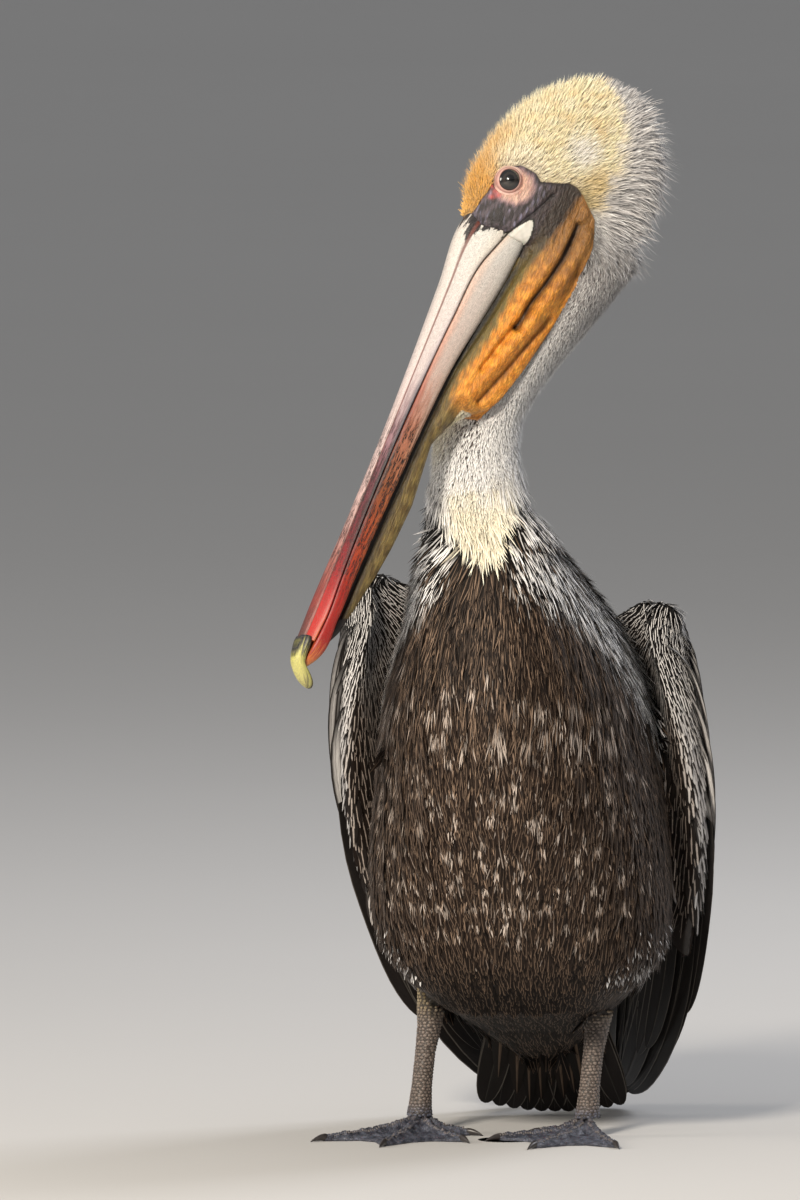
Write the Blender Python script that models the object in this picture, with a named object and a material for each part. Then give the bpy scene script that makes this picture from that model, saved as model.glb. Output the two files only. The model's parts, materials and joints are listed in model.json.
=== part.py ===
"""A brown pelican standing upright with its head turned to its right, as a life-size still model.

+Z is up, the bird faces -Y, its left is +X, and its soles stand on z = 0. The sizes below are in
millimetres, and each mesh is turned into metres as it is made. Trunk, neck and head are one
column of level slices, parted by thin cuts. Bill, pouch and eyes are laid out in the head's own
frame: distance along the bill, to the bird's left, and towards the crown.
"""

import math
from typing import NamedTuple

import bmesh
import bpy
import numpy as np

MM = 0.001
GAP = 0.3
# The layout point, between shoulders and heels, that lies under the middle of the finished bird.
ORIGIN = np.array((-8.7, 45.7, 0.0))
MOST_SHELL_FACTOR = 2.5


class Level(NamedTuple):
    """One level slice through trunk, neck or head."""

    z: float
    x: float
    y: float
    half_width: float
    front: float
    back: float
    yaw: float = 0.0


class Blade(NamedTuple):
    """One section across a folded wing: its lower front edge, its upper rear edge, half thickness."""

    edge: tuple
    upper: tuple
    thick: float


class Toe(NamedTuple):
    """A toe: its angle outwards from the middle toe, its length without the claw, and the claw."""

    angle: float
    length: float
    claw: float


# Trunk, neck and head: level slices from the belly between the legs to the crown.
HEAD_TURN = 56.0
TRUNK_LEVELS = (
    Level(z=46, x=-9, y=184, half_width=20, front=16, back=14),
    Level(z=56, x=-8, y=174, half_width=34, front=32, back=26),
    Level(z=70, x=-6, y=148, half_width=46, front=56, back=52),
    Level(z=84, x=-3, y=104, half_width=60, front=72, back=92),
    Level(z=106, x=0, y=68, half_width=84, front=74, back=128),
    Level(z=137, x=0, y=58, half_width=101, front=93, back=138),
    Level(z=165, x=-1, y=54, half_width=105, front=109, back=134),
    Level(z=206, x=-1, y=53, half_width=104, front=133, back=119),
    Level(z=247, x=0, y=52, half_width=100, front=152, back=101),
    Level(z=289, x=0, y=46, half_width=94, front=160, back=82),
    Level(z=332, x=1, y=30, half_width=84, front=150, back=68),
    Level(z=375, x=0, y=0, half_width=67, front=116, back=52),
    Level(z=406, x=-3, y=-38, half_width=53, front=70, back=48),
    Level(z=428, x=-4, y=-59, half_width=43, front=38, back=36),
)
NECK_LEVELS = (
    Level(z=449, x=-10, y=-62, half_width=34.5, front=33, back=33),
    Level(z=476, x=-12, y=-61, half_width=31, front=31, back=32),
    Level(z=497, x=-11, y=-58, half_width=30.5, front=31, back=31),
    Level(z=527, x=2, y=-51, half_width=32, front=30, back=31, yaw=8),
    Level(z=557, x=25, y=-42, half_width=32, front=29, back=31, yaw=20),
    Level(z=591, x=51, y=-31, half_width=31.5, front=29, back=33, yaw=38),
)
HEAD_LEVELS = (
    Level(z=608, x=62, y=-27, half_width=31, front=31, back=34, yaw=50),
    Level(z=618, x=57, y=-29, half_width=32, front=44, back=39, yaw=HEAD_TURN),
    Level(z=628, x=46, y=-32, half_width=33, front=60, back=56, yaw=HEAD_TURN),
    Level(z=637, x=41, y=-32, half_width=34.5, front=69, back=66, yaw=HEAD_TURN),
    Level(z=649, x=42, y=-28, half_width=37, front=71, back=70, yaw=HEAD_TURN),
    Level(z=663, x=45, y=-24, half_width=38.5, front=72, back=71, yaw=HEAD_TURN),
    Level(z=680, x=48, y=-19, half_width=38, front=67, back=67, yaw=HEAD_TURN),
    Level(z=700, x=51, y=-13, half_width=34, front=56, back=56, yaw=HEAD_TURN),
    Level(z=717, x=53, y=-8, half_width=26, front=40, back=41, yaw=HEAD_TURN),
    Level(z=727, x=55, y=-6, half_width=15, front=23, back=24, yaw=HEAD_TURN),
    Level(z=731.5, x=56, y=-5, half_width=6, front=9, back=9, yaw=HEAD_TURN),
)
COLUMN_LEVELS = TRUNK_LEVELS + NECK_LEVELS + HEAD_LEVELS
COLUMN_SQUARENESS = 2.3
COLUMN_SIDES = 28
BELLY_Z, NECK_BASE_Z, NECK_MIDDLE_Z, HEAD_BASE_Z, CROWN_Z = 46.0, 430.0, 520.0, 604.0, 731.5
TRUNK_ROWS, NECK_ROWS, HEAD_ROWS = 20, 6, 17

# The head's own frame, at the point where the feathers meet the top of the bill.
BILL_BASE = np.array((-18.4, -72.7, 640.2))
BILL_TURN, BILL_DROP, HEAD_ROLL = 33.9, 62.6, 24.3

# Bill profiles along the bill, measured from the feather line.
CULMEN = ((-14, -5), (0, 0), (47, 0.6), (145, 3.0), (232, 7.4), (300, 12.0), (318, 12.8))
GAPE = (
    (-16, -36), (2, -26.4), (13, -22), (26, -17), (71, -11), (145, -4.7),
    (232, 0.7), (274, 2.4), (300, 2.4), (318, 4.0), (335.5, 5.2),
)
CHIN = (
    (-16, -46), (5, -43), (32, -39.5), (59, -34), (100, -25.3), (146, -19.8),
    (185, -16.3), (230, -12.3), (267, -9.1), (295, -7.5), (330, -2.3), (335.5, 1.5),
)
UPPER_HALF_WIDTH = (
    (-14, 18.5), (0, 20.5), (25, 19), (70, 16), (145, 12.3), (232, 12.2), (290, 14), (318, 11.5),
)
LOWER_HALF_WIDTH = (
    (-16, 19), (5, 19.5), (32, 18), (59, 16), (100, 13.5), (146, 11.8), (185, 11.2),
    (230, 11.2), (267, 12), (295, 12), (330, 6.5), (335.5, 2.5),
)
UPPER_START, UPPER_END, LOWER_START, LOWER_END = -14.0, 318.0, -16.0, 335.5
BILL_ROWS = 15

# Half sections of the two jaws, from the top down, as (share of half width, share of depth).
UPPER_SECTION = ((0.20, 0.02), (0.43, 0.2), (0.50, 0.34), (0.83, 0.62), (0.98, 0.9), (0.95, 1.0))
LOWER_SECTION = ((0.9, 0.0), (1.0, 0.15), (0.96, 0.7), (0.7, 0.97), (0.3, 1.0))

# The nail: distance along the bill, top, bottom, half width.
NAIL_SECTIONS = (
    (318.3, 12.8, 4.4, 11.4), (327, 12.0, 5.6, 9.5), (335.7, 10.4, 5.8, 7.8), (337.2, 9.6, -4.6, 7.2),
    (341, 6.6, -7.0, 5.6), (344.5, 3.0, -7.6, 4.0), (346.6, -1.5, -6.4, 2.0),
)
NAIL_SIDES, NAIL_SQUARENESS = 10, 2.2

# The gular pouch below the jaw: distance along the bill, top, lowest edge, half width.
POUCH_SECTIONS = (
    (-38, -44, -64, 30), (-20, -42, -82, 34), (0, -40, -88, 33), (25, -38, -87, 29),
    (50, -34, -83, 25), (80, -28, -75, 19), (103, -24, -68, 14), (118, -21, -60, 10.5),
    (130, -20, -42, 8.5), (155, -18, -31, 7.5), (200, -14, -33, 6.5), (232, -11, -29.5, 6),
    (254, -9, -25.6, 5.5), (303, -5, -13.8, 4), (312, -4, -9.5, 2.5),
)
POUCH_SIDES, POUCH_SQUARENESS = 16, 2.5

# Eyes: ahead of or behind the feather line, below the culmen, and to each side.
EYE_ALONG, EYE_BELOW, EYE_SIDE, EYE_RADIUS = -32.0, -13.3, 22.5, 9.0
EYE_SEGMENTS, EYE_RINGS = 14, 8

# Folded left wing; the right one is its mirror image, held a little higher at the wrist.
WING_BLADES = (
    Blade((90, 32, 360), (85, 44, 370), 5),
    Blade((96, 33, 344), (83, 54, 372), 11),
    Blade((111, 52, 290), (56, 88, 354), 14),
    Blade((117, 76, 236), (36, 128, 314), 14),
    Blade((115, 104, 186), (23, 160, 264), 13),
    Blade((106, 136, 136), (15, 188, 210), 12),
    Blade((93, 172, 84), (9, 210, 158), 10),
    Blade((76, 212, 45), (7, 240, 110), 7),
    Blade((53, 254, 19), (8, 274, 62), 5),
    Blade((33, 290, 8), (14, 302, 22), 2.5),
)
# The section's outline: share of the way from the lower to the upper edge, and share of the thickness.
WING_SECTION = (
    (0.0, 0.0), (0.04, 0.6), (0.14, 0.95), (0.3, 1.0), (0.5, 0.9), (0.7, 0.72), (0.88, 0.5), (1.0, 0.25),
)
WING_CAMBER, FULL_CAMBER_THICKNESS = 16.0, 10.0
WING_MIDLINE_GAP = 2.0
RIGHT_WRIST_LIFT = 18.0
RIGHT_WING_SPREAD = 1.09
PRIMARIES_FROM, PRIMARIES_GAP = 0.60, 0.001
WING_ROWS, PRIMARIES_ROWS = 13, 9
WING_STEP = 0.02

# Tail: from the rump down to just above the floor.
TAIL_ROOT, TAIL_TIP = np.array((-2.0, 158.0, 118.0)), np.array((-7.0, 230.0, 5.0))
TAIL_SECTIONS = ((0.0, 30, 16), (0.3, 40, 14), (0.6, 52, 9), (0.85, 60, 5), (1.0, 50, 2.5))
TAIL_SIDES, TAIL_SQUARENESS = 12, 2.6

# Legs: height, the shin's offset to the bird's left and to the rear of the heel, half width; then where
# each heel stands and how far that foot is turned outwards.
LEG_LEVELS = (
    (13.6, 0, 0, 9.0), (20, 0.3, 1, 7.8), (34, 1, 4, 6.8), (56, 2.5, 9, 6.8), (74, 4.5, 14, 8.2),
    (86, 5.5, 17, 10), (97, 6, 19, 10.5), (112, 7, 20, 14), (128, 8, 18, 20),
)
LEG_SIDES, LEG_DEPTH_SHARE = 12, 1.15
HEELS = {"right": (-75.0, 76.0, 5.0), "left": (42.0, 76.0, -13.0)}

# Feet: four toes joined by webs.
TOES = {
    "outer": Toe(angle=36, length=86, claw=10),
    "middle": Toe(angle=0, length=95, claw=11),
    "inner": Toe(angle=-41, length=69, claw=9),
    "hind": Toe(angle=-86, length=38, claw=8),
}
HEEL_RADIUS, HEEL_HEIGHT, TOE_HEIGHT, TOE_TIP_HEIGHT = 9.0, 13.2, 9.0, 4.8
TOE_HALF_WIDTH, TOE_TIP_HALF_WIDTH, TOE_EDGE_SETBACK = 5.0, 2.6, 3.0
WEB_THICKNESS, WEB_REACH, WEB_ROOT_RISE = 2.2, 0.80, 2.3
WEB_BLENDS = (0.33, 0.67)
TOE_EDGE_SHARE = 0.3
HEEL_RIM_HEIGHT, HEEL_RIM_POINTS = 6.0, 5
FOOT_ROWS = 8

# Claws: share of the length, half width, height of the middle.
CLAW_SECTIONS = ((0.0, 2.2, 3.0), (0.35, 1.9, 3.2), (0.7, 1.2, 2.6), (1.0, 0.45, 1.2))
CLAW_SIDES, CLAW_DEPTH_SHARE = 6, 0.9


def material(name, colour, roughness):
    """A Principled material with a plain colour."""
    made = bpy.data.materials.new(name)
    made.use_nodes = True
    shader = made.node_tree.nodes["Principled BSDF"]
    shader.inputs["Base Color"].default_value = (*colour, 1.0)
    shader.inputs["Roughness"].default_value = roughness
    shader.inputs["Metallic"].default_value = 0.0
    return made


def smooth(table, at):
    """Values of a table of (place, value, ...) rows at the places given, by a cubic through the rows."""
    rows = np.array(table, float)
    places, values = rows[:, 0], rows[:, 1:]
    slopes = np.gradient(values, places, axis=0)
    at = np.clip(np.atleast_1d(np.asarray(at, float)), places[0], places[-1])
    low = np.clip(np.searchsorted(places, at, side="right") - 1, 0, len(places) - 2)
    span = (places[low + 1] - places[low])[:, None]
    t = ((at - places[low])[:, None]) / span
    return (
        (2 * t**3 - 3 * t**2 + 1) * values[low]
        + (t**3 - 2 * t**2 + t) * span * slopes[low]
        + (3 * t**2 - 2 * t**3) * values[low + 1]
        + (t**3 - t**2) * span * slopes[low + 1]
    )


def oval(sides, squareness):
    """Points of a superellipse of half width 1, as (across, along) pairs."""
    angle = np.arange(sides) * math.tau / sides
    across, along = np.cos(angle), np.sin(angle)
    power = 2.0 / squareness
    return np.sign(across) * np.abs(across) ** power, np.sign(along) * np.abs(along) ** power


def add_object(name, points, faces, finish):
    """A named mesh object with outward faces and smooth shading, from points in millimetres."""
    mesh = bpy.data.meshes.new(name)
    mesh.from_pydata([tuple(p) for p in (np.asarray(points) - ORIGIN) * MM], [], faces)
    shape = bmesh.new()
    shape.from_mesh(mesh)
    bmesh.ops.recalc_face_normals(shape, faces=shape.faces)
    bmesh.ops.triangulate(shape, faces=shape.faces)
    shape.to_mesh(mesh)
    shape.free()
    mesh.shade_smooth()
    mesh.materials.append(finish)
    made = bpy.data.objects.new(name, mesh)
    bpy.context.scene.collection.objects.link(made)
    return made


def loft(name, rings, finish):
    """A closed solid through rings of equal length, with a face at each end."""
    sides = len(rings[0])
    faces = [list(range(sides)), list(range((len(rings) - 1) * sides, len(rings) * sides))]
    for row in range(len(rings) - 1):
        for k in range(sides):
            a, b = row * sides + k, row * sides + (k + 1) % sides
            faces.append([a, b, b + sides, a + sides])
    return add_object(name, np.concatenate(rings), faces, finish)


def cut(target, tools):
    """Cuts each tool's shape, grown by the gap, out of the target."""
    for tool in tools:
        cutter = bpy.data.objects.new(f"{target.name}_less_{tool.name}", tool.data.copy())
        bpy.context.scene.collection.objects.link(cutter)
        grown = bmesh.new()
        grown.from_mesh(cutter.data)
        reach = [min(vertex.calc_shell_factor(), MOST_SHELL_FACTOR) for vertex in grown.verts]
        steps = [vertex.normal * GAP * MM * more for vertex, more in zip(grown.verts, reach)]
        for vertex, step in zip(grown.verts, steps):
            vertex.co += step
        grown.to_mesh(cutter.data)
        grown.free()
        cutter.hide_render = True
        cutter.display_type = "WIRE"
        taking = target.modifiers.new(f"less {tool.name}", "BOOLEAN")
        taking.operation = "DIFFERENCE"
        taking.solver = "EXACT"
        taking.object = cutter


def column_piece(name, low, high, rows, finish):
    """The stretch of trunk, neck and head between two heights."""
    across, along = oval(COLUMN_SIDES, COLUMN_SQUARENESS)
    rings = []
    for z in np.linspace(low, high, rows):
        x, y, half_width, front, back, yaw = smooth(COLUMN_LEVELS, z)[0]
        reach = np.where(along > 0, front, back) * along
        turn = math.radians(yaw)
        ring = np.empty((COLUMN_SIDES, 3))
        ring[:, 0] = x + across * half_width * math.cos(turn) - reach * math.sin(turn)
        ring[:, 1] = y - across * half_width * math.sin(turn) - reach * math.cos(turn)
        ring[:, 2] = z
        rings.append(ring)
    return loft(name, rings, finish)


def head_axes():
    """Unit vectors along the bill, to the head's left and towards its crown."""
    turn, drop, roll = (math.radians(a) for a in (BILL_TURN, BILL_DROP, HEAD_ROLL))
    heading = np.array((-math.sin(turn), -math.cos(turn), 0.0))
    upright = np.array((0.0, 0.0, 1.0))
    level_left = np.array((math.cos(turn), -math.sin(turn), 0.0))
    level_up = math.sin(drop) * heading + math.cos(drop) * upright
    forward = math.cos(drop) * heading - math.sin(drop) * upright
    left = math.cos(roll) * level_left + math.sin(roll) * level_up
    up = math.cos(roll) * level_up - math.sin(roll) * level_left
    return forward, left, up


def in_head(along, side, above):
    """World places of points given in the head's frame."""
    forward, left, up = head_axes()
    parts = [np.atleast_1d(np.asarray(v, float))[:, None] for v in (along, side, above)]
    return BILL_BASE + parts[0] * forward + parts[1] * left + parts[2] * up


def bill_places(start, end, rows):
    """Places along the bill, closer together at both ends."""
    return start + (end - start) * (1 - np.cos(np.linspace(0, math.pi, rows))) / 2


def jaw(name, span, tops, bottoms, half_widths, section, finish):
    """One jaw: the half section, mirrored, is carried along the bill at the profiles' sizes."""
    share = np.array(section)
    rings = []
    for at in bill_places(*span, BILL_ROWS):
        top, bottom, half = (smooth(table, at)[0, 0] for table in (tops, bottoms, half_widths))
        side, down = share[:, 0] * half, share[:, 1] * (top - bottom)
        across = np.concatenate((side, -side[::-1]))
        above = top - np.concatenate((down, down[::-1]))
        rings.append(in_head(np.full(len(across), at), across, above))
    return loft(name, rings, finish)


def shifted(table, amount):
    """The same profile with every height moved by an amount."""
    return tuple((at, height + amount) for at, height in table)


def sections_in_head(name, sections, sides, squareness, finish):
    """A solid through oval sections given as place along the bill, top, bottom, half width."""
    across, above = oval(sides, squareness)
    rings = []
    for at, top, bottom, half in sections:
        middle, tall = (top + bottom) / 2, (top - bottom) / 2
        rings.append(in_head(np.full(sides, at), across * half, middle + above * tall))
    return loft(name, rings, finish)


def eye(name, side, finish):
    """One eyeball, set with its middle inside the head."""
    shape = bmesh.new()
    bmesh.ops.create_uvsphere(
        shape, u_segments=EYE_SEGMENTS, v_segments=EYE_RINGS, radius=EYE_RADIUS
    )
    middle = in_head(EYE_ALONG, side * EYE_SIDE, EYE_BELOW)[0]
    points = [np.array(vertex.co) + middle for vertex in shape.verts]
    faces = [[vertex.index for vertex in face.verts] for face in shape.faces]
    shape.free()
    return add_object(name, points, faces, finish)


def wing_rows(places):
    """Edge, upper edge and half thickness of the wing at places from 0 at the wrist to 1 at the tip."""
    last = len(WING_BLADES) - 1
    table = [(k / last, *blade.edge, *blade.upper, blade.thick) for k, blade in enumerate(WING_BLADES)]
    return smooth(table, places)


def wing_piece(name, side, start, end, rows, finish):
    """A stretch of a folded wing; side is 1 for the left wing and -1 for the right."""
    share, round_off = np.array(WING_SECTION).T
    places = np.linspace(start, end, rows)
    rings = []
    for place, row in zip(places, wing_rows(places)):
        edge, upper, thick = row[:3].copy(), row[3:6].copy(), row[6]
        if side < 0:
            lift = RIGHT_WRIST_LIFT * (1 - place) ** 2
            edge += (edge[0] * (RIGHT_WING_SPREAD - 1), 0, lift)
            upper += (upper[0] * (RIGHT_WING_SPREAD - 1), 0, lift)
        nearby = wing_rows((place - WING_STEP, place + WING_STEP))[:, :3]
        outward = np.cross(nearby[1] - nearby[0], upper - edge)
        outward /= np.linalg.norm(outward)
        camber = WING_CAMBER * min(1.0, thick / FULL_CAMBER_THICKNESS)
        middle = edge + share[:, None] * (upper - edge)
        middle = middle + (np.sin(math.pi * share) * camber)[:, None] * outward
        skin = (round_off * thick)[:, None] * outward
        ring = np.concatenate((middle + skin, (middle - skin)[-1:0:-1]))
        ring[:, 0] = np.maximum(ring[:, 0], WING_MIDLINE_GAP) * side
        rings.append(ring)
    return loft(name, rings, finish)


def tail(finish):
    """The tail: a shallow fan that hangs from the rump."""
    line = TAIL_TIP - TAIL_ROOT
    outward = np.cross((1.0, 0.0, 0.0), line / np.linalg.norm(line))
    across, thick = oval(TAIL_SIDES, TAIL_SQUARENESS)
    rings = []
    for share, half, deep in TAIL_SECTIONS:
        middle = TAIL_ROOT + share * line
        rings.append(middle + np.outer(across * half, (1, 0, 0)) + np.outer(thick * deep, outward))
    return loft("tail", rings, finish)


def leg(name, finish):
    """Shin and heel joint, from the top of the foot into the thigh feathers."""
    heel_x, heel_y, _ = HEELS[name]
    across, along = oval(LEG_SIDES, 2.0)
    rings = []
    for z, aside, back, half in LEG_LEVELS:
        ring = np.empty((LEG_SIDES, 3))
        ring[:, 0] = heel_x + aside + across * half
        ring[:, 1] = heel_y + back + along * half * LEG_DEPTH_SHARE
        ring[:, 2] = z
        rings.append(ring)
    return loft(f"leg_{name}", rings, finish)


def toe_direction(name, side, toe):
    """Unit vector of a toe on the floor."""
    angle = math.radians(toe.angle + HEELS[name][2])
    return np.array((side * math.sin(angle), -math.cos(angle)))


def foot_columns(name, side):
    """Lines running out from the heel: for each, the places of its rows and the height of its top."""
    share = np.linspace(0, 1, FOOT_ROWS)
    columns = []
    for toe in TOES.values():
        ahead = toe_direction(name, side, toe)
        beside = np.array((-ahead[1], ahead[0])) * side
        for lane in (1, 0, -1):
            reach = HEEL_RADIUS + (toe.length - TOE_EDGE_SETBACK * abs(lane) - HEEL_RADIUS) * share
            half = TOE_HALF_WIDTH + (TOE_TIP_HALF_WIDTH - TOE_HALF_WIDTH) * share
            places = reach[:, None] * ahead + (lane * half)[:, None] * beside
            tall = TOE_HEIGHT + (TOE_TIP_HEIGHT - TOE_HEIGHT) * share
            tall = tall + (HEEL_HEIGHT - TOE_HEIGHT) * np.maximum(0, 1 - 3 * share)
            edge = WEB_THICKNESS + TOE_EDGE_SHARE * tall * (1 - share)
            columns.append([places, tall if lane == 0 else edge])
    widened = []
    for k, column in enumerate(columns):
        widened.append(column)
        if k % 3 != 2 or k == len(columns) - 1:
            continue
        nearby = columns[k + 1]
        for blend in WEB_BLENDS:
            between = (1 - blend) * column[0] + blend * nearby[0]
            shorter = 1 - (1 - WEB_REACH) * share[:, None]
            widened.append([between * shorter, WEB_THICKNESS + WEB_ROOT_RISE * (1 - share) ** 3])
    return widened


def foot(name, side, finish):
    """A webbed foot with a flat sole."""
    columns = foot_columns(name, side)
    heel = np.array(HEELS[name][:2])
    first, last = columns[0][0][0], columns[-1][0][0]
    start, end = math.atan2(first[1], first[0]), math.atan2(last[1], last[0])
    sweep = (start - end) % math.tau if side < 0 else (end - start) % math.tau
    rest = math.tau - sweep
    points, rims = [], []
    for places, tall in columns:
        rims.append(list(range(len(points), len(points) + FOOT_ROWS)))
        points += [(*(heel + place), z) for place, z in zip(places, tall)]
    rear = []
    for k in range(1, HEEL_RIM_POINTS + 1):
        angle = end + side * rest * k / (HEEL_RIM_POINTS + 1)
        rear.append(len(points))
        rim = heel + HEEL_RADIUS * np.array((math.cos(angle), math.sin(angle)))
        points.append((*rim, HEEL_RIM_HEIGHT))
    faces = []
    for left, right in zip(rims, rims[1:]):
        for j in range(FOOT_ROWS - 1):
            faces.append([left[j], right[j], right[j + 1], left[j + 1]])
    crown = len(points)
    points.append((*heel, HEEL_HEIGHT))
    ring = [rim[0] for rim in rims] + rear
    faces += [[crown, a, b] for a, b in zip(ring, ring[1:] + ring[:1])]
    outline = rims[0][:0:-1] + [rims[0][0]] + rear[::-1] + rims[-1][:-1]
    outline += [rim[-1] for rim in rims[:0:-1]]
    floor = [len(points) + k for k in range(len(outline))]
    points += [(points[k][0], points[k][1], 0.0) for k in outline]
    around = zip(outline, outline[1:] + outline[:1], floor, floor[1:] + floor[:1])
    faces += [[a, b, d, c] for a, b, c, d in around]
    faces.append(floor)
    return add_object(f"foot_{name}", points, faces, finish)


def claw(name, side, toe_name, finish):
    """The claw at the end of one toe, curving down towards the floor."""
    toe = TOES[toe_name]
    ahead = toe_direction(name, side, toe)
    beside = np.array((-ahead[1], ahead[0]))
    across, above = oval(CLAW_SIDES, 2.0)
    rings = []
    for share, half, z in CLAW_SECTIONS:
        middle = np.array(HEELS[name][:2]) + (toe.length + GAP + share * toe.claw) * ahead
        ring = np.empty((CLAW_SIDES, 3))
        ring[:, :2] = middle + np.outer(across * half, beside)
        ring[:, 2] = z + above * half * CLAW_DEPTH_SHARE
        rings.append(ring)
    return loft(f"claw_{name}_{toe_name}", rings, finish)


def main():
    """Builds the whole bird."""
    for leftover in list(bpy.data.objects):
        bpy.data.objects.remove(leftover, do_unlink=True)

    plume = material("brown plumage", (0.05, 0.036, 0.028), 0.8)
    pale = material("white neck plumage", (0.78, 0.75, 0.68), 0.8)
    straw = material("straw-yellow crown plumage", (0.80, 0.66, 0.34), 0.8)
    silver = material("silver-grey wing plumage", (0.25, 0.22, 0.20), 0.7)
    horn = material("bill horn", (0.72, 0.60, 0.55), 0.45)
    nail_horn = material("bill nail horn", (0.55, 0.53, 0.25), 0.4)
    gular = material("pouch skin", (0.60, 0.28, 0.06), 0.6)
    shank = material("leg skin", (0.16, 0.14, 0.13), 0.6)
    cornea = material("eye", (0.03, 0.02, 0.015), 0.1)
    claw_horn = material("claw horn", (0.03, 0.03, 0.03), 0.4)

    trunk = column_piece("trunk", BELLY_Z, NECK_BASE_Z - GAP / 2, TRUNK_ROWS, plume)
    neck_lower = column_piece(
        "neck_lower", NECK_BASE_Z + GAP / 2, NECK_MIDDLE_Z - GAP / 2, NECK_ROWS, pale
    )
    neck_upper = column_piece(
        "neck_upper", NECK_MIDDLE_Z + GAP / 2, HEAD_BASE_Z - GAP / 2, NECK_ROWS, pale
    )
    head = column_piece("head", HEAD_BASE_Z + GAP / 2, CROWN_Z, HEAD_ROWS, straw)

    upper_span, lower_span = (UPPER_START, UPPER_END), (LOWER_START, LOWER_END)
    bill_upper = jaw(
        "bill_upper", upper_span, CULMEN, shifted(GAPE, GAP), UPPER_HALF_WIDTH, UPPER_SECTION, horn
    )
    bill_lower = jaw(
        "bill_lower", lower_span, shifted(GAPE, -GAP / 2), CHIN, LOWER_HALF_WIDTH, LOWER_SECTION, horn
    )
    sections_in_head("bill_nail", NAIL_SECTIONS, NAIL_SIDES, NAIL_SQUARENESS, nail_horn)
    pouch = sections_in_head("pouch", POUCH_SECTIONS, POUCH_SIDES, POUCH_SQUARENESS, gular)
    eyes = [eye("eye_left", 1, cornea), eye("eye_right", -1, cornea)]
    cut(pouch, (bill_lower, head, neck_upper, neck_lower))
    cut(head, (bill_upper, bill_lower, *eyes))

    fan = tail(silver)
    cut(fan, (trunk,))
    for name, side in (("left", 1), ("right", -1)):
        ends = PRIMARIES_FROM - PRIMARIES_GAP / 2, PRIMARIES_FROM + PRIMARIES_GAP / 2
        wing = wing_piece(f"wing_{name}", side, 0.0, ends[0], WING_ROWS, silver)
        flight = wing_piece(f"primaries_{name}", side, ends[1], 1.0, PRIMARIES_ROWS, silver)
        cut(wing, (trunk,))
        cut(flight, (trunk, fan))
        shin = leg(name, shank)
        cut(shin, (trunk,))
        foot(name, side, shank)
        for toe_name in TOES:
            claw(name, side, toe_name, claw_horn)


main()
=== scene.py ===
"""The looks of a life-size brown pelican that stands upright with its head turned to its right.

Lengths are in millimetres until a mesh is made, when they become metres. +Z is up, the breast
faces -Y and the bird's left is +X. Bill, pouch and face are laid out in the head's own frame:
distance along the bill, to the bird's left, and towards the crown.
"""

from __future__ import annotations

import json
import logging
import math
from collections.abc import Callable, Iterator
from contextlib import contextmanager
from dataclasses import dataclass
from enum import Enum

import bmesh
import bpy
import numpy as np
from mathutils import Matrix, Vector
from mathutils.bvhtree import BVHTree
from mathutils.kdtree import KDTree

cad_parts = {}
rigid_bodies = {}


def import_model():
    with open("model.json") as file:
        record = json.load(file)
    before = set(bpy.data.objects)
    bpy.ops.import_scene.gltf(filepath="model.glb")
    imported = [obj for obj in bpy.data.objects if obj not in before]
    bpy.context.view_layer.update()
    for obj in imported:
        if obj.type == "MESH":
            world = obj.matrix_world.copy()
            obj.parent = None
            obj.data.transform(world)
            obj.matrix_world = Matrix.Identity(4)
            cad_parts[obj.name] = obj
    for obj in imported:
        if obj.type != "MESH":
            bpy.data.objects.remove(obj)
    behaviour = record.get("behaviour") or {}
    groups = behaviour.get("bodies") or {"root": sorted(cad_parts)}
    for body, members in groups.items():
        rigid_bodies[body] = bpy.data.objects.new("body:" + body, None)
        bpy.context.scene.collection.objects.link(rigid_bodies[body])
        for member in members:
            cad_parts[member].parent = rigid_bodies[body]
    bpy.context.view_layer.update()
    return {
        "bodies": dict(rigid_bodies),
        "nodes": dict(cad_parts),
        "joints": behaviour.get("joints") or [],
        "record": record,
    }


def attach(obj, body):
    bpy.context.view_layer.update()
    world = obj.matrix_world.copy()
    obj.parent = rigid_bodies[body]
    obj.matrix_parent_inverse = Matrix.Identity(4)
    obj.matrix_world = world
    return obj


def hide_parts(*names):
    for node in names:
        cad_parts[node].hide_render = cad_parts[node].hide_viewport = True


log = logging.getLogger("pelican")

MM = 0.001
BODY = "root"
SIDES = (("left", 1), ("right", -1))
# Width of one small feather's place on the baked map, which is 1 wide.
PATCH = 0.003


# ------------------------------------------------------------------ colours


class Shade(Enum):
    """The bird's colours, as sRGB hex values."""

    GOLD = "ECB04C"
    STRAW = "F7E3B4"
    CREAM = "FCF0D8"
    WHITE = "FDFCFA"
    GREY = "A9A5A4"
    OLIVE_STRAW = "C2A862"
    PATCH_CREAM = "F4EAD3"
    SPECKLE = "3E2C28"
    NIGHT = "0E0A08"
    BROWN = "2A1F18"
    DEEP_BROWN = "1B130E"
    TAUPE = "86705E"
    PALE_FLECK = "DACBBF"
    SILVER = "A8A4A3"
    SILVER_EDGE = "F2EFEC"
    SLATE = "3C3634"
    SHAFT = "C9C0B4"


def linear(shade: str) -> np.ndarray:
    """Turns an sRGB hex colour into linear values.

    Args:
        shade: Six hex digits, with or without a leading #.

    Returns:
        Three linear values from 0 to 1.
    """
    digits = shade.lstrip("#")
    values = np.array([int(digits[k : k + 2], 16) / 255 for k in (0, 2, 4)])
    return np.where(values <= 0.04045, values / 12.92, ((values + 0.055) / 1.055) ** 2.4)


def ink(colour: Shade | str | np.ndarray) -> np.ndarray:
    """Linear values of a named shade, of a hex colour, or of values that are linear already.

    Args:
        colour: The shade, hex digits or values.

    Returns:
        Linear values.
    """
    if isinstance(colour, Shade):
        return linear(colour.value)
    return linear(colour) if isinstance(colour, str) else colour


# ------------------------------------------------------------------ small tools


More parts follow.
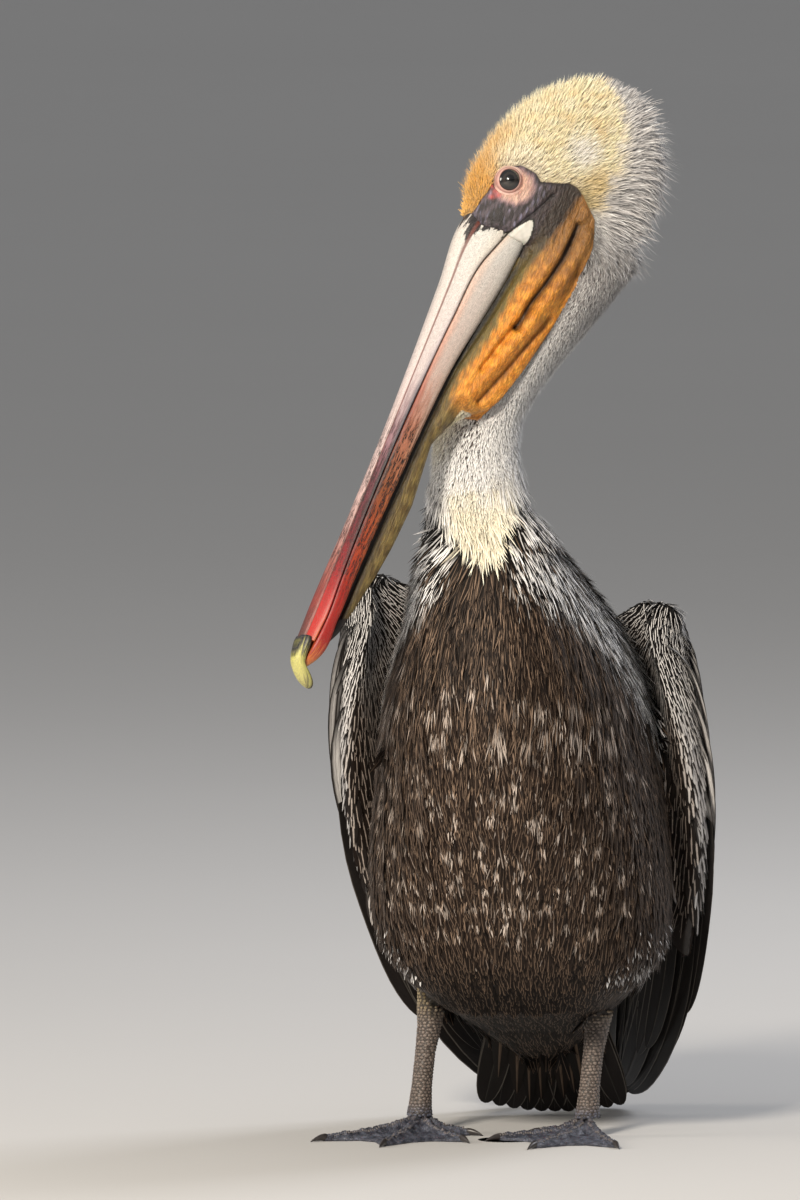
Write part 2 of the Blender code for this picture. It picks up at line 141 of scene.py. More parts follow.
def step(values: np.ndarray, start: float, end: float) -> np.ndarray:
    """A smooth rise from 0 at start to 1 at end, which may run downwards.

    Args:
        values: Where to read it.
        start: Value at which it is 0.
        end: Value at which it is 1.

    Returns:
        Numbers from 0 to 1.
    """
    t = np.clip((np.asarray(values, float) - start) / (end - start), 0, 1)
    return t * t * (3 - 2 * t)


def blend(first: object, second: object, share: np.ndarray) -> np.ndarray:
    """Mixes two colours, or rows of colours.

    Args:
        first: Colour where the share is 0.
        second: Colour where the share is 1.
        share: One number for each row.

    Returns:
        Rows of colours.
    """
    share = np.asarray(share, float)[..., None]
    return ink(first) * (1 - share) + ink(second) * share


def unit(vectors: np.ndarray) -> np.ndarray:
    """Rows scaled to length 1."""
    return vectors / np.maximum(np.linalg.norm(vectors, axis=-1, keepdims=True), 1e-9)


def flatten_onto(vectors: np.ndarray, normals: np.ndarray) -> np.ndarray:
    """Unit directions of vectors laid onto the planes that the normals stand on."""
    return unit(vectors - np.sum(vectors * normals, axis=1, keepdims=True) * normals)


def smooth_rows(table: tuple, at: np.ndarray) -> np.ndarray:
    """Reads a table of (place, value, ...) rows by a cubic through the rows.

    Args:
        table: Rows in order of place.
        at: Places to read.

    Returns:
        One row of values for each place.
    """
    rows = np.array(table, float)
    places, values = rows[:, 0], rows[:, 1:]
    slopes = np.gradient(values, places, axis=0)
    at = np.clip(np.atleast_1d(np.asarray(at, float)), places[0], places[-1])
    low = np.clip(np.searchsorted(places, at, side="right") - 1, 0, len(places) - 2)
    span = (places[low + 1] - places[low])[:, None]
    t = (at - places[low])[:, None] / span
    return (
        (2 * t**3 - 3 * t**2 + 1) * values[low]
        + (t**3 - 2 * t**2 + t) * span * slopes[low]
        + (3 * t**2 - 2 * t**3) * values[low + 1]
        + (t**3 - t**2) * span * slopes[low + 1]
    )


def ripple(points: np.ndarray, size: float, seed: int, layers: int = 5) -> np.ndarray:
    """Smooth noise from a few crossing waves.

    Args:
        points: Places in millimetres.
        size: Rough distance between bumps in millimetres.
        seed: Seed of the waves' directions.
        layers: Number of waves.

    Returns:
        Values of about -1 to 1.
    """
    dice = np.random.default_rng(seed)
    total = np.zeros(len(points))
    for _ in range(layers):
        way = unit(dice.normal(size=(1, 3)))[0]
        wave = points @ way * math.tau / (size * dice.uniform(0.7, 1.5))
        total += np.sin(wave + dice.uniform(0, math.tau))
    return total / math.sqrt(layers)


def line_distance(points: np.ndarray, line: tuple) -> np.ndarray:
    """Distance of flat points to a bent line.

    Args:
        points: Rows of two values.
        line: Corners of the line.

    Returns:
        One distance for each point.
    """
    corners = np.array(line, float)
    best = np.full(len(points), np.inf)
    for a, b in zip(corners[:-1], corners[1:]):
        run = b - a
        t = np.clip((points - a) @ run / (run @ run), 0, 1)
        best = np.minimum(best, np.linalg.norm(points - a - t[:, None] * run, axis=1))
    return best


def inside(points: np.ndarray, outline: tuple) -> np.ndarray:
    """Which flat points lie inside a closed outline.

    Args:
        points: Rows of two values.
        outline: Corners in order.

    Returns:
        True where a point is inside.
    """
    corners = np.array(outline, float)
    found = np.zeros(len(points), bool)
    for a, b in zip(corners, np.roll(corners, -1, axis=0)):
        crosses = (a[1] > points[:, 1]) != (b[1] > points[:, 1])
        rise = b[1] - a[1] if b[1] != a[1] else 1e-9
        found ^= crosses & (points[:, 0] < (b[0] - a[0]) * (points[:, 1] - a[1]) / rise + a[0])
    return found


def begins(names: np.ndarray, *starts: str) -> np.ndarray:
    """Which names begin with any of the words given."""
    return np.any([np.char.startswith(names, start) for start in starts], axis=0)


def between(ends: tuple, shares: np.ndarray) -> np.ndarray:
    """Values from the first end to the second, by shares from 0 to 1."""
    return ends[0] + (ends[1] - ends[0]) * shares


# ------------------------------------------------------------------ nodes and meshes


def add_node(
    tree: bpy.types.NodeTree, kind: str, inputs: dict | None = None, **settings: object
) -> bpy.types.Node:
    """Adds a node with its settings, values and links.

    Args:
        tree: The node tree.
        kind: Blender's name for the node, without its ShaderNode prefix.
        inputs: Values, colours or output sockets by input name or number.
        **settings: Attributes of the node.

    Returns:
        The new node.
    """
    made = tree.nodes.new("ShaderNode" + kind)
    for name, value in settings.items():
        setattr(made, name, value)
    for key, value in (inputs or {}).items():
        socket = made.inputs[key]
        if isinstance(value, bpy.types.NodeSocket):
            tree.links.new(value, socket)
        else:
            socket.default_value = (*ink(value), 1.0) if socket.type == "RGBA" else value
    return made


def mixed(
    tree: bpy.types.NodeTree, share: object, first: object, second: object, how: str = "MIX"
) -> bpy.types.NodeSocket:
    """Adds a colour mix.

    Args:
        tree: The node tree.
        share: Factor, as a value or a socket.
        first: Colour at 0.
        second: Colour at 1.
        how: Blend type.

    Returns:
        The colour socket.
    """
    inputs = {0: share, 6: first, 7: second}
    return add_node(tree, "Mix", inputs, data_type="RGBA", blend_type=how).outputs[2]


def maths(
    tree: bpy.types.NodeTree, how: str, first: object, second: object = 0.0, third: object = 0.0
) -> bpy.types.NodeSocket:
    """Adds a Math node that isn't clamped, and returns its socket."""
    return add_node(tree, "Math", {0: first, 1: second, 2: third}, operation=how).outputs[0]


def ranged(
    tree: bpy.types.NodeTree, value: object, start: object, end: object, low: float = 0.0, high: float = 1.0
) -> bpy.types.NodeSocket:
    """Adds a smooth Map Range node and returns its socket."""
    inputs = {0: value, 1: start, 2: end, 3: low, 4: high}
    return add_node(tree, "MapRange", inputs, interpolation_type="SMOOTHSTEP").outputs[0]


def noise_at(
    tree: bpy.types.NodeTree, place: bpy.types.NodeSocket, scale: float, detail: float, **more: float
) -> bpy.types.NodeSocket:
    """Adds a Noise Texture node and returns its value socket."""
    inputs = {"Vector": place, "Scale": scale, "Detail": detail, **more}
    return add_node(tree, "TexNoise", inputs).outputs[0]


def shaded(
    tree: bpy.types.NodeTree, colour: bpy.types.NodeSocket, tone: bpy.types.NodeSocket
) -> bpy.types.NodeSocket:
    """Multiplies a colour by a tone, and returns its socket."""
    grey = add_node(tree, "CombineXYZ", {0: tone, 1: tone, 2: tone}).outputs[0]
    return mixed(tree, 1.0, colour, grey, "MULTIPLY")


def coordinates(tree: bpy.types.NodeTree, uv_map: str) -> tuple:
    """A map's vector socket, and its two number sockets.

    Args:
        tree: The node tree.
        uv_map: The map's name.

    Returns:
        Three sockets.
    """
    place = add_node(tree, "UVMap", uv_map=uv_map).outputs[0]
    parts = add_node(tree, "SeparateXYZ", {0: place}).outputs
    return place, parts[0], parts[1]


def new_material(name: str) -> tuple:
    """A material with an empty Principled shader, and its node tree.

    Args:
        name: The material's name.

    Returns:
        The material and its tree.
    """
    made = bpy.data.materials.new(name)
    made.use_nodes = True
    return made, made.node_tree


def wire(
    tree: bpy.types.NodeTree, colour: bpy.types.NodeSocket, values: dict, relief: tuple | None = None
) -> None:
    """Joins colour, relief and plain values to the tree's Principled shader.

    Args:
        tree: The node tree.
        colour: The colour socket.
        values: Numbers by input name.
        relief: Height socket, strength, and depth in millimetres.
    """
    shader = tree.nodes["Principled BSDF"]
    tree.links.new(colour, shader.inputs["Base Color"])
    for name, value in values.items():
        shader.inputs[name].default_value = value
    if relief:
        height, strength, depth = relief
        bump = add_node(tree, "Bump", {"Height": height, "Strength": strength, "Distance": depth * MM})
        tree.links.new(bump.outputs[0], shader.inputs["Normal"])


def mesh_object(
    name: str, points: np.ndarray, faces: list, finish: bpy.types.Material
) -> bpy.types.Object:
    """A smooth-shaded mesh object at the origin.

    Args:
        name: The object's name.
        points: Places in millimetres, in rows of any shape.
        faces: Arrays of vertex numbers, each with faces of one length.
        finish: Its material.

    Returns:
        The object.
    """
    mesh = bpy.data.meshes.new(name)
    corners = np.concatenate([group.reshape(-1) for group in faces])
    sizes = np.concatenate([np.full(len(group), group.shape[1]) for group in faces])
    starts = np.concatenate(([0], np.cumsum(sizes)[:-1]))
    mesh.vertices.add(points.size // 3)
    set_points(mesh, points)
    mesh.loops.add(len(corners))
    mesh.loops.foreach_set("vertex_index", corners.astype(np.int32))
    mesh.polygons.add(len(sizes))
    mesh.polygons.foreach_set("loop_start", starts.astype(np.int32))
    mesh.update(calc_edges=True)
    mesh.shade_smooth()
    mesh.materials.append(finish)
    made = bpy.data.objects.new(name, mesh)
    bpy.context.scene.collection.objects.link(made)
    return made


def set_points(mesh: bpy.types.Mesh, points: np.ndarray) -> None:
    """Moves a mesh's points to places in millimetres."""
    mesh.vertices.foreach_set("co", (points * MM).astype(np.float32).reshape(-1))


@contextmanager
def edited(mesh: bpy.types.Mesh) -> Iterator:
    """Opens a mesh for edits of its shape, and stores them at the end.

    Args:
        mesh: The mesh.

    Returns:
        The shape, once, while it is open.
    """
    shape = bmesh.new()
    shape.from_mesh(mesh)
    yield shape
    shape.to_mesh(mesh)
    shape.free()


def paint(mesh: bpy.types.Mesh, name: str, colours: np.ndarray, extra: np.ndarray) -> None:
    """Stores a colour, with one more number beside it, on a mesh's points.

    Args:
        mesh: The mesh.
        name: Name of the attribute.
        colours: One linear colour for each point.
        extra: The number kept in the fourth channel.
    """
    values = np.empty((len(mesh.vertices), 4), np.float32)
    values[:, :3] = colours
    values[:, 3] = extra
    layer = mesh.color_attributes.new(name, "FLOAT_COLOR", "POINT")
    layer.data.foreach_set("color", values.reshape(-1))


def lay_map(mesh: bpy.types.Mesh, name: str, places: np.ndarray) -> None:
    """Stores a UV map from one place for each point.

    Args:
        mesh: The mesh.
        name: The map's name.
        places: Two values from 0 to 1 for each point.
    """
    corners = np.empty(len(mesh.loops), np.int32)
    mesh.loops.foreach_get("vertex_index", corners)
    layer = mesh.uv_layers.new(name=name)
    layer.data.foreach_set("uv", places[corners].astype(np.float32).reshape(-1))


def points_of(mesh: bpy.types.Mesh) -> np.ndarray:
    """A mesh's points in millimetres.

    Args:
        mesh: The mesh.

    Returns:
        One row for each point.
    """
    values = np.empty(len(mesh.vertices) * 3, np.float32)
    mesh.vertices.foreach_get("co", values)
    return values.reshape(-1, 3).astype(float) / MM


def normals_of(mesh: bpy.types.Mesh) -> np.ndarray:
    """The outward directions at a mesh's points.

    Args:
        mesh: The mesh.

    Returns:
        One unit row for each point.
    """
    values = np.empty(len(mesh.vertices) * 3, np.float32)
    mesh.vertex_normals.foreach_get("vector", values)
    return values.reshape(-1, 3).astype(float)


def grid_faces(rows: int, columns: int, closed: bool) -> np.ndarray:
    """Quads over a grid of points whose columns may close into a ring.

    Args:
        rows: Number of rows.
        columns: Points in each row.
        closed: Whether the last column meets the first.

    Returns:
        Quads of vertex numbers.
    """
    across = columns if closed else columns - 1
    row, column = np.meshgrid(np.arange(rows - 1) * columns, np.arange(across), indexing="ij")
    nearby = (column + 1) % columns
    corners = (row + column, row + nearby, row + columns + nearby, row + columns + column)
    return np.stack([c.reshape(-1) for c in corners], axis=1)


def copied_faces(faces: tuple, count: int, size: int) -> list:
    """Faces of one shape repeated for many copies of it, each with the same number of points."""
    starts = (np.arange(count) * size)[:, None, None]
    return [(group[None] + starts).reshape(-1, group.shape[1]) for group in faces]


def tube(name: str, points: np.ndarray, finish: bpy.types.Material) -> bpy.types.Object:
    """A closed tube with flat ends.

    Args:
        name: The object's name.
        points: Places in millimetres: rows along the tube, and columns round it.
        finish: Its material.

    Returns:
        The object, with its faces turned outwards.
    """
    rows, around = points.shape[:2]
    first = np.arange(around)[None]
    faces = [grid_faces(rows, around, True), first, (first + (rows - 1) * around)[:, ::-1]]
    made = mesh_object(name, points, faces, finish)
    with edited(made.data) as shape:
        bmesh.ops.recalc_face_normals(shape, faces=shape.faces)
    return made


def kept(made: bpy.types.Object, slot: str, *nodes: str) -> bpy.types.Object:
    """Fixes a piece to the body, hides the nodes that it replaces, and logs its count of faces.

    Args:
        made: The piece.
        slot: The record's material slot; not used.
        *nodes: Nodes that it replaces.

    Returns:
        The piece.
    """
    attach(made, BODY)
    if nodes:
        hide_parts(*nodes)
    log.info("%s: %d faces", made.name, len(made.data.polygons))
    return made


# ------------------------------------------------------------------ the bird's own frames


@dataclass(frozen=True)
class HeadFrame:
    """The head's frame, at the point where the feathers meet the top of the bill."""

    base: tuple = (-9.7, -118.4, 640.2)
    turn: float = 33.9
    drop: float = 62.6
    roll: float = 24.3

    def axes(self) -> np.ndarray:
        """Unit vectors along the bill, to the head's left and towards its crown, as rows.

        Returns:
            Three rows.
        """
        turn, drop, roll = (math.radians(a) for a in (self.turn, self.drop, self.roll))
        heading = np.array((-math.sin(turn), -math.cos(turn), 0.0))
        upright = np.array((0.0, 0.0, 1.0))
        level_left = np.array((math.cos(turn), -math.sin(turn), 0.0))
        level_up = math.sin(drop) * heading + math.cos(drop) * upright
        forward = math.cos(drop) * heading - math.sin(drop) * upright
        left = math.cos(roll) * level_left + math.sin(roll) * level_up
        up = math.cos(roll) * level_up - math.sin(roll) * level_left
        return np.stack((forward, left, up))

    def world(self, along: np.ndarray, left: np.ndarray, above: np.ndarray) -> np.ndarray:
        """World places of points given in the head's frame."""
        parts = np.stack(np.broadcast_arrays(along, left, above), axis=-1).astype(float)
        return np.array(self.base) + parts @ self.axes()

    def local(self, points: np.ndarray) -> np.ndarray:
        """Along, left and above values of world places."""
        return (points - np.array(self.base)) @ self.axes().T


HEAD = HeadFrame()

# The middle line of trunk, neck and head: height, then its place across and along the floor.
COLUMN = (
    (46, 0, 138), (106, 8.7, 22), (165, 7.7, 8), (247, 8.7, 6), (332, 9.7, -16), (375, 8.7, -46),
    (406, 5.7, -84), (428, 4.7, -105), (449, -1.3, -108), (476, -3.3, -107), (497, -2.3, -104),
    (527, 10.7, -97), (557, 33.7, -88), (591, 59.7, -77), (608, 68, -73), (663, 55, -70), (731, 64, -51),
)


def column_at(heights: np.ndarray) -> np.ndarray:
    """The middle of the body's column at the heights given, as world places."""
    heights = np.asarray(heights, float)
    return np.concatenate((smooth_rows(COLUMN, heights), heights[:, None]), axis=1)


def turn_round(points: np.ndarray) -> np.ndarray:
    """Turn of places round the column, from the middle of the breast towards the bird's left."""
    middle = column_at(points[:, 2])
    return np.arctan2(points[:, 0] - middle[:, 0], middle[:, 1] - points[:, 1])


# Outline of the bare skin of face and pouch, in the head's frame seen from its side: along, above.
BARE_OUTLINE = (
    (4, -2.2), (-7, -2.4), (-15, -3.2), (-21.5, -4.4), (-29.6, -4.6), (-38.8, -7.4), (-43.6, -16),
    (-41.5, -26), (-37, -31), (-40.8, -43.7), (-43.7, -50.6), (-43.2, -56.4), (-39.8, -62.5), (-35.5, -68.1),
    (-29.2, -77.1), (-20.6, -80.4), (-11.3, -82.3), (0, -82.8), (15.4, -83.4), (47.2, -79.8),
    (80, -73.6), (103, -68), (121.9, -59.8), (125, -40), (140, -38), (202, -37), (232, -34),
    (303, -20), (330, -14), (420, -10), (420, 60), (4, 60),
)

# Outline of the pale plate that runs from the lower jaw up into the dark face: along, above.
PLATE_ROOT = (
    (13, -21.0), (5, -24.6), (-2, -28.2), (-7, -31.4), (-10.5, -34.4), (-11.4, -36.4), (-8.5, -38.2),
    (-2, -39.6), (5, -40.6), (13, -41),
)


def bareness(points: np.ndarray) -> np.ndarray:
    """Distance in from the edge of the bare skin, which is negative in the feathers.

    Args:
        points: World places.

    Returns:
        One signed distance for each point.
    """
    flat = HEAD.local(points)[:, (0, 2)]
    edge = line_distance(flat, BARE_OUTLINE + BARE_OUTLINE[:1])
    lowest = 375
    return np.where(inside(flat, BARE_OUTLINE) & (points[:, 2] > lowest), edge, -edge)


# ------------------------------------------------------------------ markings


@dataclass
class Marks:
    """Colours of many feathers: vane, streak, and the streak's share of the vane's half width."""

    vane: np.ndarray
    streak: np.ndarray
    width: np.ndarray


def head_marks(points: np.ndarray, luck: np.ndarray) -> Marks:
    """Colours of the plush on head and neck.

    Args:
        points: Roots of the feathers.
        luck: One random number for each, from 0 to 1.

    Returns:
        Their marks.
    """
    along, _, above = HEAD.local(points).T
    wander = ripple(points, 14, 5)
    fine = ripple(points, 5, 6)
    vane = blend(Shade.STRAW, Shade.CREAM, 0.35 + 0.35 * step(fine, -1, 1.2))
    front = step(above + 2 * fine + 9 * step(along, -34, -14), -15, 3) * step(along, -112, -62)
    patches = step(wander + 0.4 * fine, -0.1, 1.2) * step(above, -8, -18) * step(along, -48, -62) * 0.28
    patches = patches * step(above, -74, -58)
    pale = step(np.hypot(along + 45, above + 17), 18, 7) * 0.6
    spot = step(np.hypot(along + 65, above + 51), 19, 3) * 0.6
    gold = np.clip((front + patches) * (1 - pale) * (1 - spot), 0, 1) * (0.7 + 0.3 * luck)
    vane = blend(vane, Shade.GOLD, gold)
    vane = blend(vane, Shade.CREAM, np.clip(pale, 0, 1))
    vane = blend(vane, Shade.WHITE, spot)
    corner = step(np.hypot(along + 44, above + 72), 24, 8)
    vane = blend(vane, Shade.OLIVE_STRAW, corner * 0.55)
    border = np.interp(along, (-125, -90, -60, -30), (-56, -76, -77, -74))
    back = step(above + 3.0 * wander - border, 5, -9) * step(points[:, 2], 500, 610)
    neck = step(points[:, 2] - 0.30 * above, 665, 630) * step(above, -40, -60)
    vane = blend(vane, Shade.WHITE, np.maximum(back, neck))
    # Grey on the back of the head and upper neck: partly grey feather bases, partly painted shade of the
    # nape.
    grey_bases_and_nape_shade = back * 0.8 * (luck > 0.35) + 0.3 * neck * (luck > 0.7)
    vane = blend(vane, Shade.GREY, np.clip(grey_bases_and_nape_shade, 0, 1))
    middle = column_at(points[:, 2])
    front = step(middle[:, 1] - points[:, 1], 6, 24)
    centre = np.exp(-(((points[:, 0] - middle[:, 0] + 2) / 15) ** 2))
    rank = np.exp(-(((points[:, 2] - 494) / 17) ** 2)) + 0.25 * step(points[:, 2], 430, 450)
    speckled = luck < 0.26 * front * centre * rank
    vane = blend(vane, Shade.SPECKLE, speckled * 0.95)
    cream = front * step(points[:, 2] + 6 * wander, 472, 438) * (1 - speckled)
    cream = cream * step(np.abs(points[:, 0] - 9), 36, 18)
    vane = blend(vane, Shade.PATCH_CREAM, cream)
    fringe = step(points[:, 2] - collar_height(points), 15, 4) * step(np.abs(points[:, 0] - 8), 10, 22)
    vane = blend(vane, Shade.NIGHT, (np.sin(luck * 811) > 0.25) * fringe)
    vane = vane * (0.78 + 0.30 * luck)[:, None]
    return Marks(vane, np.minimum(vane * 1.15 + 0.02, 0.95), np.full(len(points), 0.5))


# Height of the neck's lower border by turn round the neck, from the middle of the breast.
COLLAR = (
    (-math.pi, 457), (-2.0, 454), (-1.5, 449), (-1.0, 444), (-0.74, 438), (-0.53, 429), (-0.21, 416),
    (0.12, 406), (0.28, 418), (0.45, 430), (0.77, 443), (1.0, 451), (1.4, 458), (2.0, 460), (math.pi, 457),
)


def collar_height(points: np.ndarray) -> np.ndarray:
    """Height of the ragged border between the pale neck and the dark breast."""
    height = np.interp(turn_round(points), *np.array(COLLAR).T)
    return height + 4.0 * ripple(points, 4.5, 8)


def body_marks(points: np.ndarray, luck: np.ndarray) -> Marks:
    """Colours of breast, belly, flanks and back.

    Args:
        points: Roots of the feathers.
        luck: One random number for each, from 0 to 1.

    Returns:
        Their marks.
    """
    z = points[:, 2]
    turn, white = body_zones(points)
    flank = step(np.abs(turn), 0.75, 1.35)
    back = step(np.abs(turn), 1.9, 2.4) * step(z, 104, 128)
    top = step(z, 300, 350)
    vane = blend(Shade.BROWN, Shade.NIGHT, np.clip(top * 0.55 + white, 0, 1))
    vane = blend(vane, Shade.DEEP_BROWN, step(z, 130, 70))
    # Random tone, and colour darkened from 170 mm down to 95 mm: painted shade under the belly.
    vane = vane * (0.7 + 0.6 * luck)[:, None] * (1 - 0.45 * step(z, 170, 95))[:, None]
    streak = blend(ink(Shade.TAUPE) * 0.6, Shade.SILVER_EDGE, white * (luck > 0.45))
    width = 0.16 + 0.12 * white
    fleck = flecked(points - (0, 0, 8), turn) * step(luck, 0.2, 0.6)
    streak = blend(streak, ink(Shade.PALE_FLECK) * 0.65, fleck)
    width = np.maximum(width, 0.34 * fleck)
    streak = blend(streak, Shade.SILVER, back)
    width = width * (1 - back) + 0.72 * back
    fringe = step(z, 150, 118) * step(z, 96, 112) * flank * (1 - back) * (luck > 0.7)
    streak = blend(streak, Shade.SILVER, fringe)
    width = np.maximum(width, 0.3 * fringe)
    return Marks(vane, streak, width)


def body_zones(points: np.ndarray) -> tuple:
    """Turn round the column from the middle of the breast, and how white-streaked the place is.

    Args:
        points: Places on the body.

    Returns:
        Turns in radians, and values from 0 to 1.
    """
    turn = turn_round(points)
    edge = np.interp(points[:, 2], (255, 290, 330, 370, 400, 430), (1.75, 1.3, 0.95, 0.60, 0.25, 0.0))
    aside = np.abs(turn - 0.05) + 0.10 * ripple(points, 12, 4)
    return turn, step(aside, edge, edge + 0.30) * step(points[:, 2], 225, 290)


def mottled(places: np.ndarray, size: tuple, reach: tuple, chance: np.ndarray, seed: int) -> np.ndarray:
    """How strongly each place belongs to one of many small upright patches.

    Args:
        places: Flat places: across, and up.
        size: Size of the cells that hold one patch each.
        reach: Half width and half height of a patch.
        chance: How likely a cell is to hold one, read at each place.
        seed: Seed of the draws.

    Returns:
        One value from 0 to 1 for each place.
    """
    dice = np.random.default_rng(seed)
    cells = np.floor(places / size).astype(np.int64)
    which = np.unique(cells, axis=0, return_inverse=True)[1].reshape(-1)
    draws = dice.random((which.max() + 1, 5))[which]
    offset = places - (cells + 0.25 + 0.5 * draws[:, (0, 2)]) * np.array(size)
    within = step(np.hypot(*(offset / reach).T), 1.1, 0.5)
    return within * (draws[:, 3] < chance) * (0.35 + 0.65 * draws[:, 4])


def flecked(points: np.ndarray, turn: np.ndarray) -> np.ndarray:
    """How pale the soft flecks of breast and belly are at each place.

    Args:
        points: Places on the body.
        turn: Their turn round the column.

    Returns:
        Values from 0 to 1.
    """
    z = points[:, 2]
    rank = step(z, 112, 180) * step(z, 352, 315) * step(np.abs(turn), 1.35, 0.75)
    chance = rank * (0.62 + 0.25 * ripple(points, 26, 21))
    girth = 72
    unrolled = np.stack((turn * girth, z), axis=1)
    fine = mottled(unrolled, (8.0, 13.0), (1.7, 4.5), chance, 24)
    return np.maximum(fine, 0.8 * mottled(unrolled + 5, (15.0, 21.0), (2.6, 6.5), 0.8 * chance, 25))


def strand_marks(points: np.ndarray, luck: np.ndarray) -> Marks:
    """Colours of the fine hair-like feathers over breast and belly.

    Args:
        points: Roots of the feathers.
        luck: One random number for each, from 0 to 1.

    Returns:
        Their marks.
    """
    z = points[:, 2]
    turn, white = body_zones(points)
    fleck = flecked(points, turn)
    plain = blend(Shade.BROWN, Shade.TAUPE, step(np.sin(luck * 977), -0.2, 1.0))
    plain = blend(plain, Shade.NIGHT, (np.sin(luck * 431) > 0.1) * 0.75)
    vane = blend(plain, Shade.PALE_FLECK, fleck * (0.45 + 0.55 * luck))
    streaked = blend(Shade.NIGHT, Shade.SILVER_EDGE, (np.sin(luck * 613) > 0.62).astype(float))
    vane = blend(vane, streaked, white)
    # Low on the body the strands turn deep brown, and their colour is darkened towards the bottom: painted
    # shade under the belly.
    under = step(z, 165, 85)
    vane = blend(vane, Shade.DEEP_BROWN, under * (np.sin(luck * 231) < 0.8))
    vane = vane * (1 - 0.45 * under)[:, None]
    return Marks(vane, np.minimum(vane * 1.15, 0.95), np.full(len(points), 0.5))


def hem_marks(points: np.ndarray, luck: np.ndarray) -> Marks:
    """Colours of the pale feather tips that fringe the lower flanks.

    Args:
        points: Roots of the feathers.
        luck: One random number for each, from 0 to 1.

    Returns:
        Their marks.
    """
    pale = (np.sin(luck * 517) > -0.2).astype(float)
    vane = blend(Shade.BROWN, blend(Shade.SILVER, Shade.SILVER_EDGE, luck), pale)
    return Marks(vane, vane, np.full(len(points), 0.5))


def wing_marks(luck: np.ndarray, down: np.ndarray, outer: np.ndarray) -> Marks:
    """Colours of the wing's coverts.

    Args:
        luck: One random number for each, from 0 to 1.
        down: Place along the wing, from 0 at the wrist to 1 at the tip.
        outer: How far the surface faces outwards, from 0 to 1.

    Returns:
        Their marks.
    """
    silver = step(down, 0.13, 0.27) * outer
    inner = (1 - outer) * step(down, 0.12, 0.26)
    vane = blend(Shade.NIGHT, Shade.SLATE, silver * 0.5)
    vane = blend(vane, Shade.DEEP_BROWN, inner)
    vane = vane * (0.8 + 0.4 * luck)[:, None]
    streak = blend(Shade.SILVER_EDGE, Shade.SILVER, silver * (0.2 + 0.8 * luck))
    streak = blend(streak, Shade.TAUPE, inner * 0.8)
    width = 0.27 + 0.36 * silver - 0.10 * inner
    return Marks(vane, streak, width)


# ------------------------------------------------------------------ finishes


@dataclass(frozen=True)
class Vanes:
    """Matt keratin vanes: barbs run out from a shaft, so the surface is finely ribbed and silky.

    The streak's colour comes from each feather's own attributes, and the ribs from its own map.
    """

    name: str
    streak_from: float = 0.1
    roughness: float = 0.62
    sheen: float = 0.12
    ribs: float = 26.0
    fringe: float = 0.0
    rib_contrast: float = 0.25
    root_tone: float = 1.0
    tip_tone: float = 1.0

    def make(self) -> bpy.types.Material:
        """Builds the material.

        Returns:
            The material.
        """
        material, tree = new_material(self.name)
        vane = add_node(tree, "Attribute", attribute_name="vane").outputs
        streak = add_node(tree, "Attribute", attribute_name="streak").outputs
        _, place, along = coordinates(tree, "Vane")
        across = maths(tree, "ABSOLUTE", maths(tree, "MULTIPLY_ADD", place, 2.0, -1.0))
        half = vane["Alpha"]
        line = ranged(tree, across, maths(tree, "MULTIPLY", half, 0.45), half, 1.0, 0.0)
        shown = ranged(tree, along, self.streak_from, self.streak_from + 0.25)
        share = maths(tree, "MULTIPLY", line, shown)
        colour = mixed(tree, share, vane["Color"], streak["Color"])
        if self.fringe:
            edge = ranged(tree, across, 1.0 - self.fringe, 1.0 - 0.4 * self.fringe, 0.0, 0.22)
            colour = mixed(tree, edge, colour, Shade.SHAFT)
        slant = maths(tree, "MULTIPLY_ADD", across, 0.22, along)
        rib_place = add_node(tree, "CombineXYZ", {0: slant, 1: streak["Alpha"]}).outputs[0]
        ribs = noise_at(tree, rib_place, self.ribs, 2.0)
        shadow = ranged(tree, ribs, 0.25, 0.75, 1.0 - self.rib_contrast, 1.0 + 0.4 * self.rib_contrast)
        fade = ranged(tree, along, 0.05, 0.9, self.root_tone, self.tip_tone)
        shadow = maths(tree, "MULTIPLY", shadow, fade)
        # Painted shade at each feather's root, where it goes under its neighbours.
        tone = maths(tree, "MULTIPLY", shadow, ranged(tree, along, 0.0, 0.35, 0.62, 1.0))
        values = {"Roughness": self.roughness, "Sheen Weight": self.sheen, "Sheen Roughness": 0.4}
        values["Specular IOR Level"] = 0.18
        wire(tree, shaded(tree, colour, tone), values, (ribs, 0.25, 0.4))
        return material


# ------------------------------------------------------------------ skin


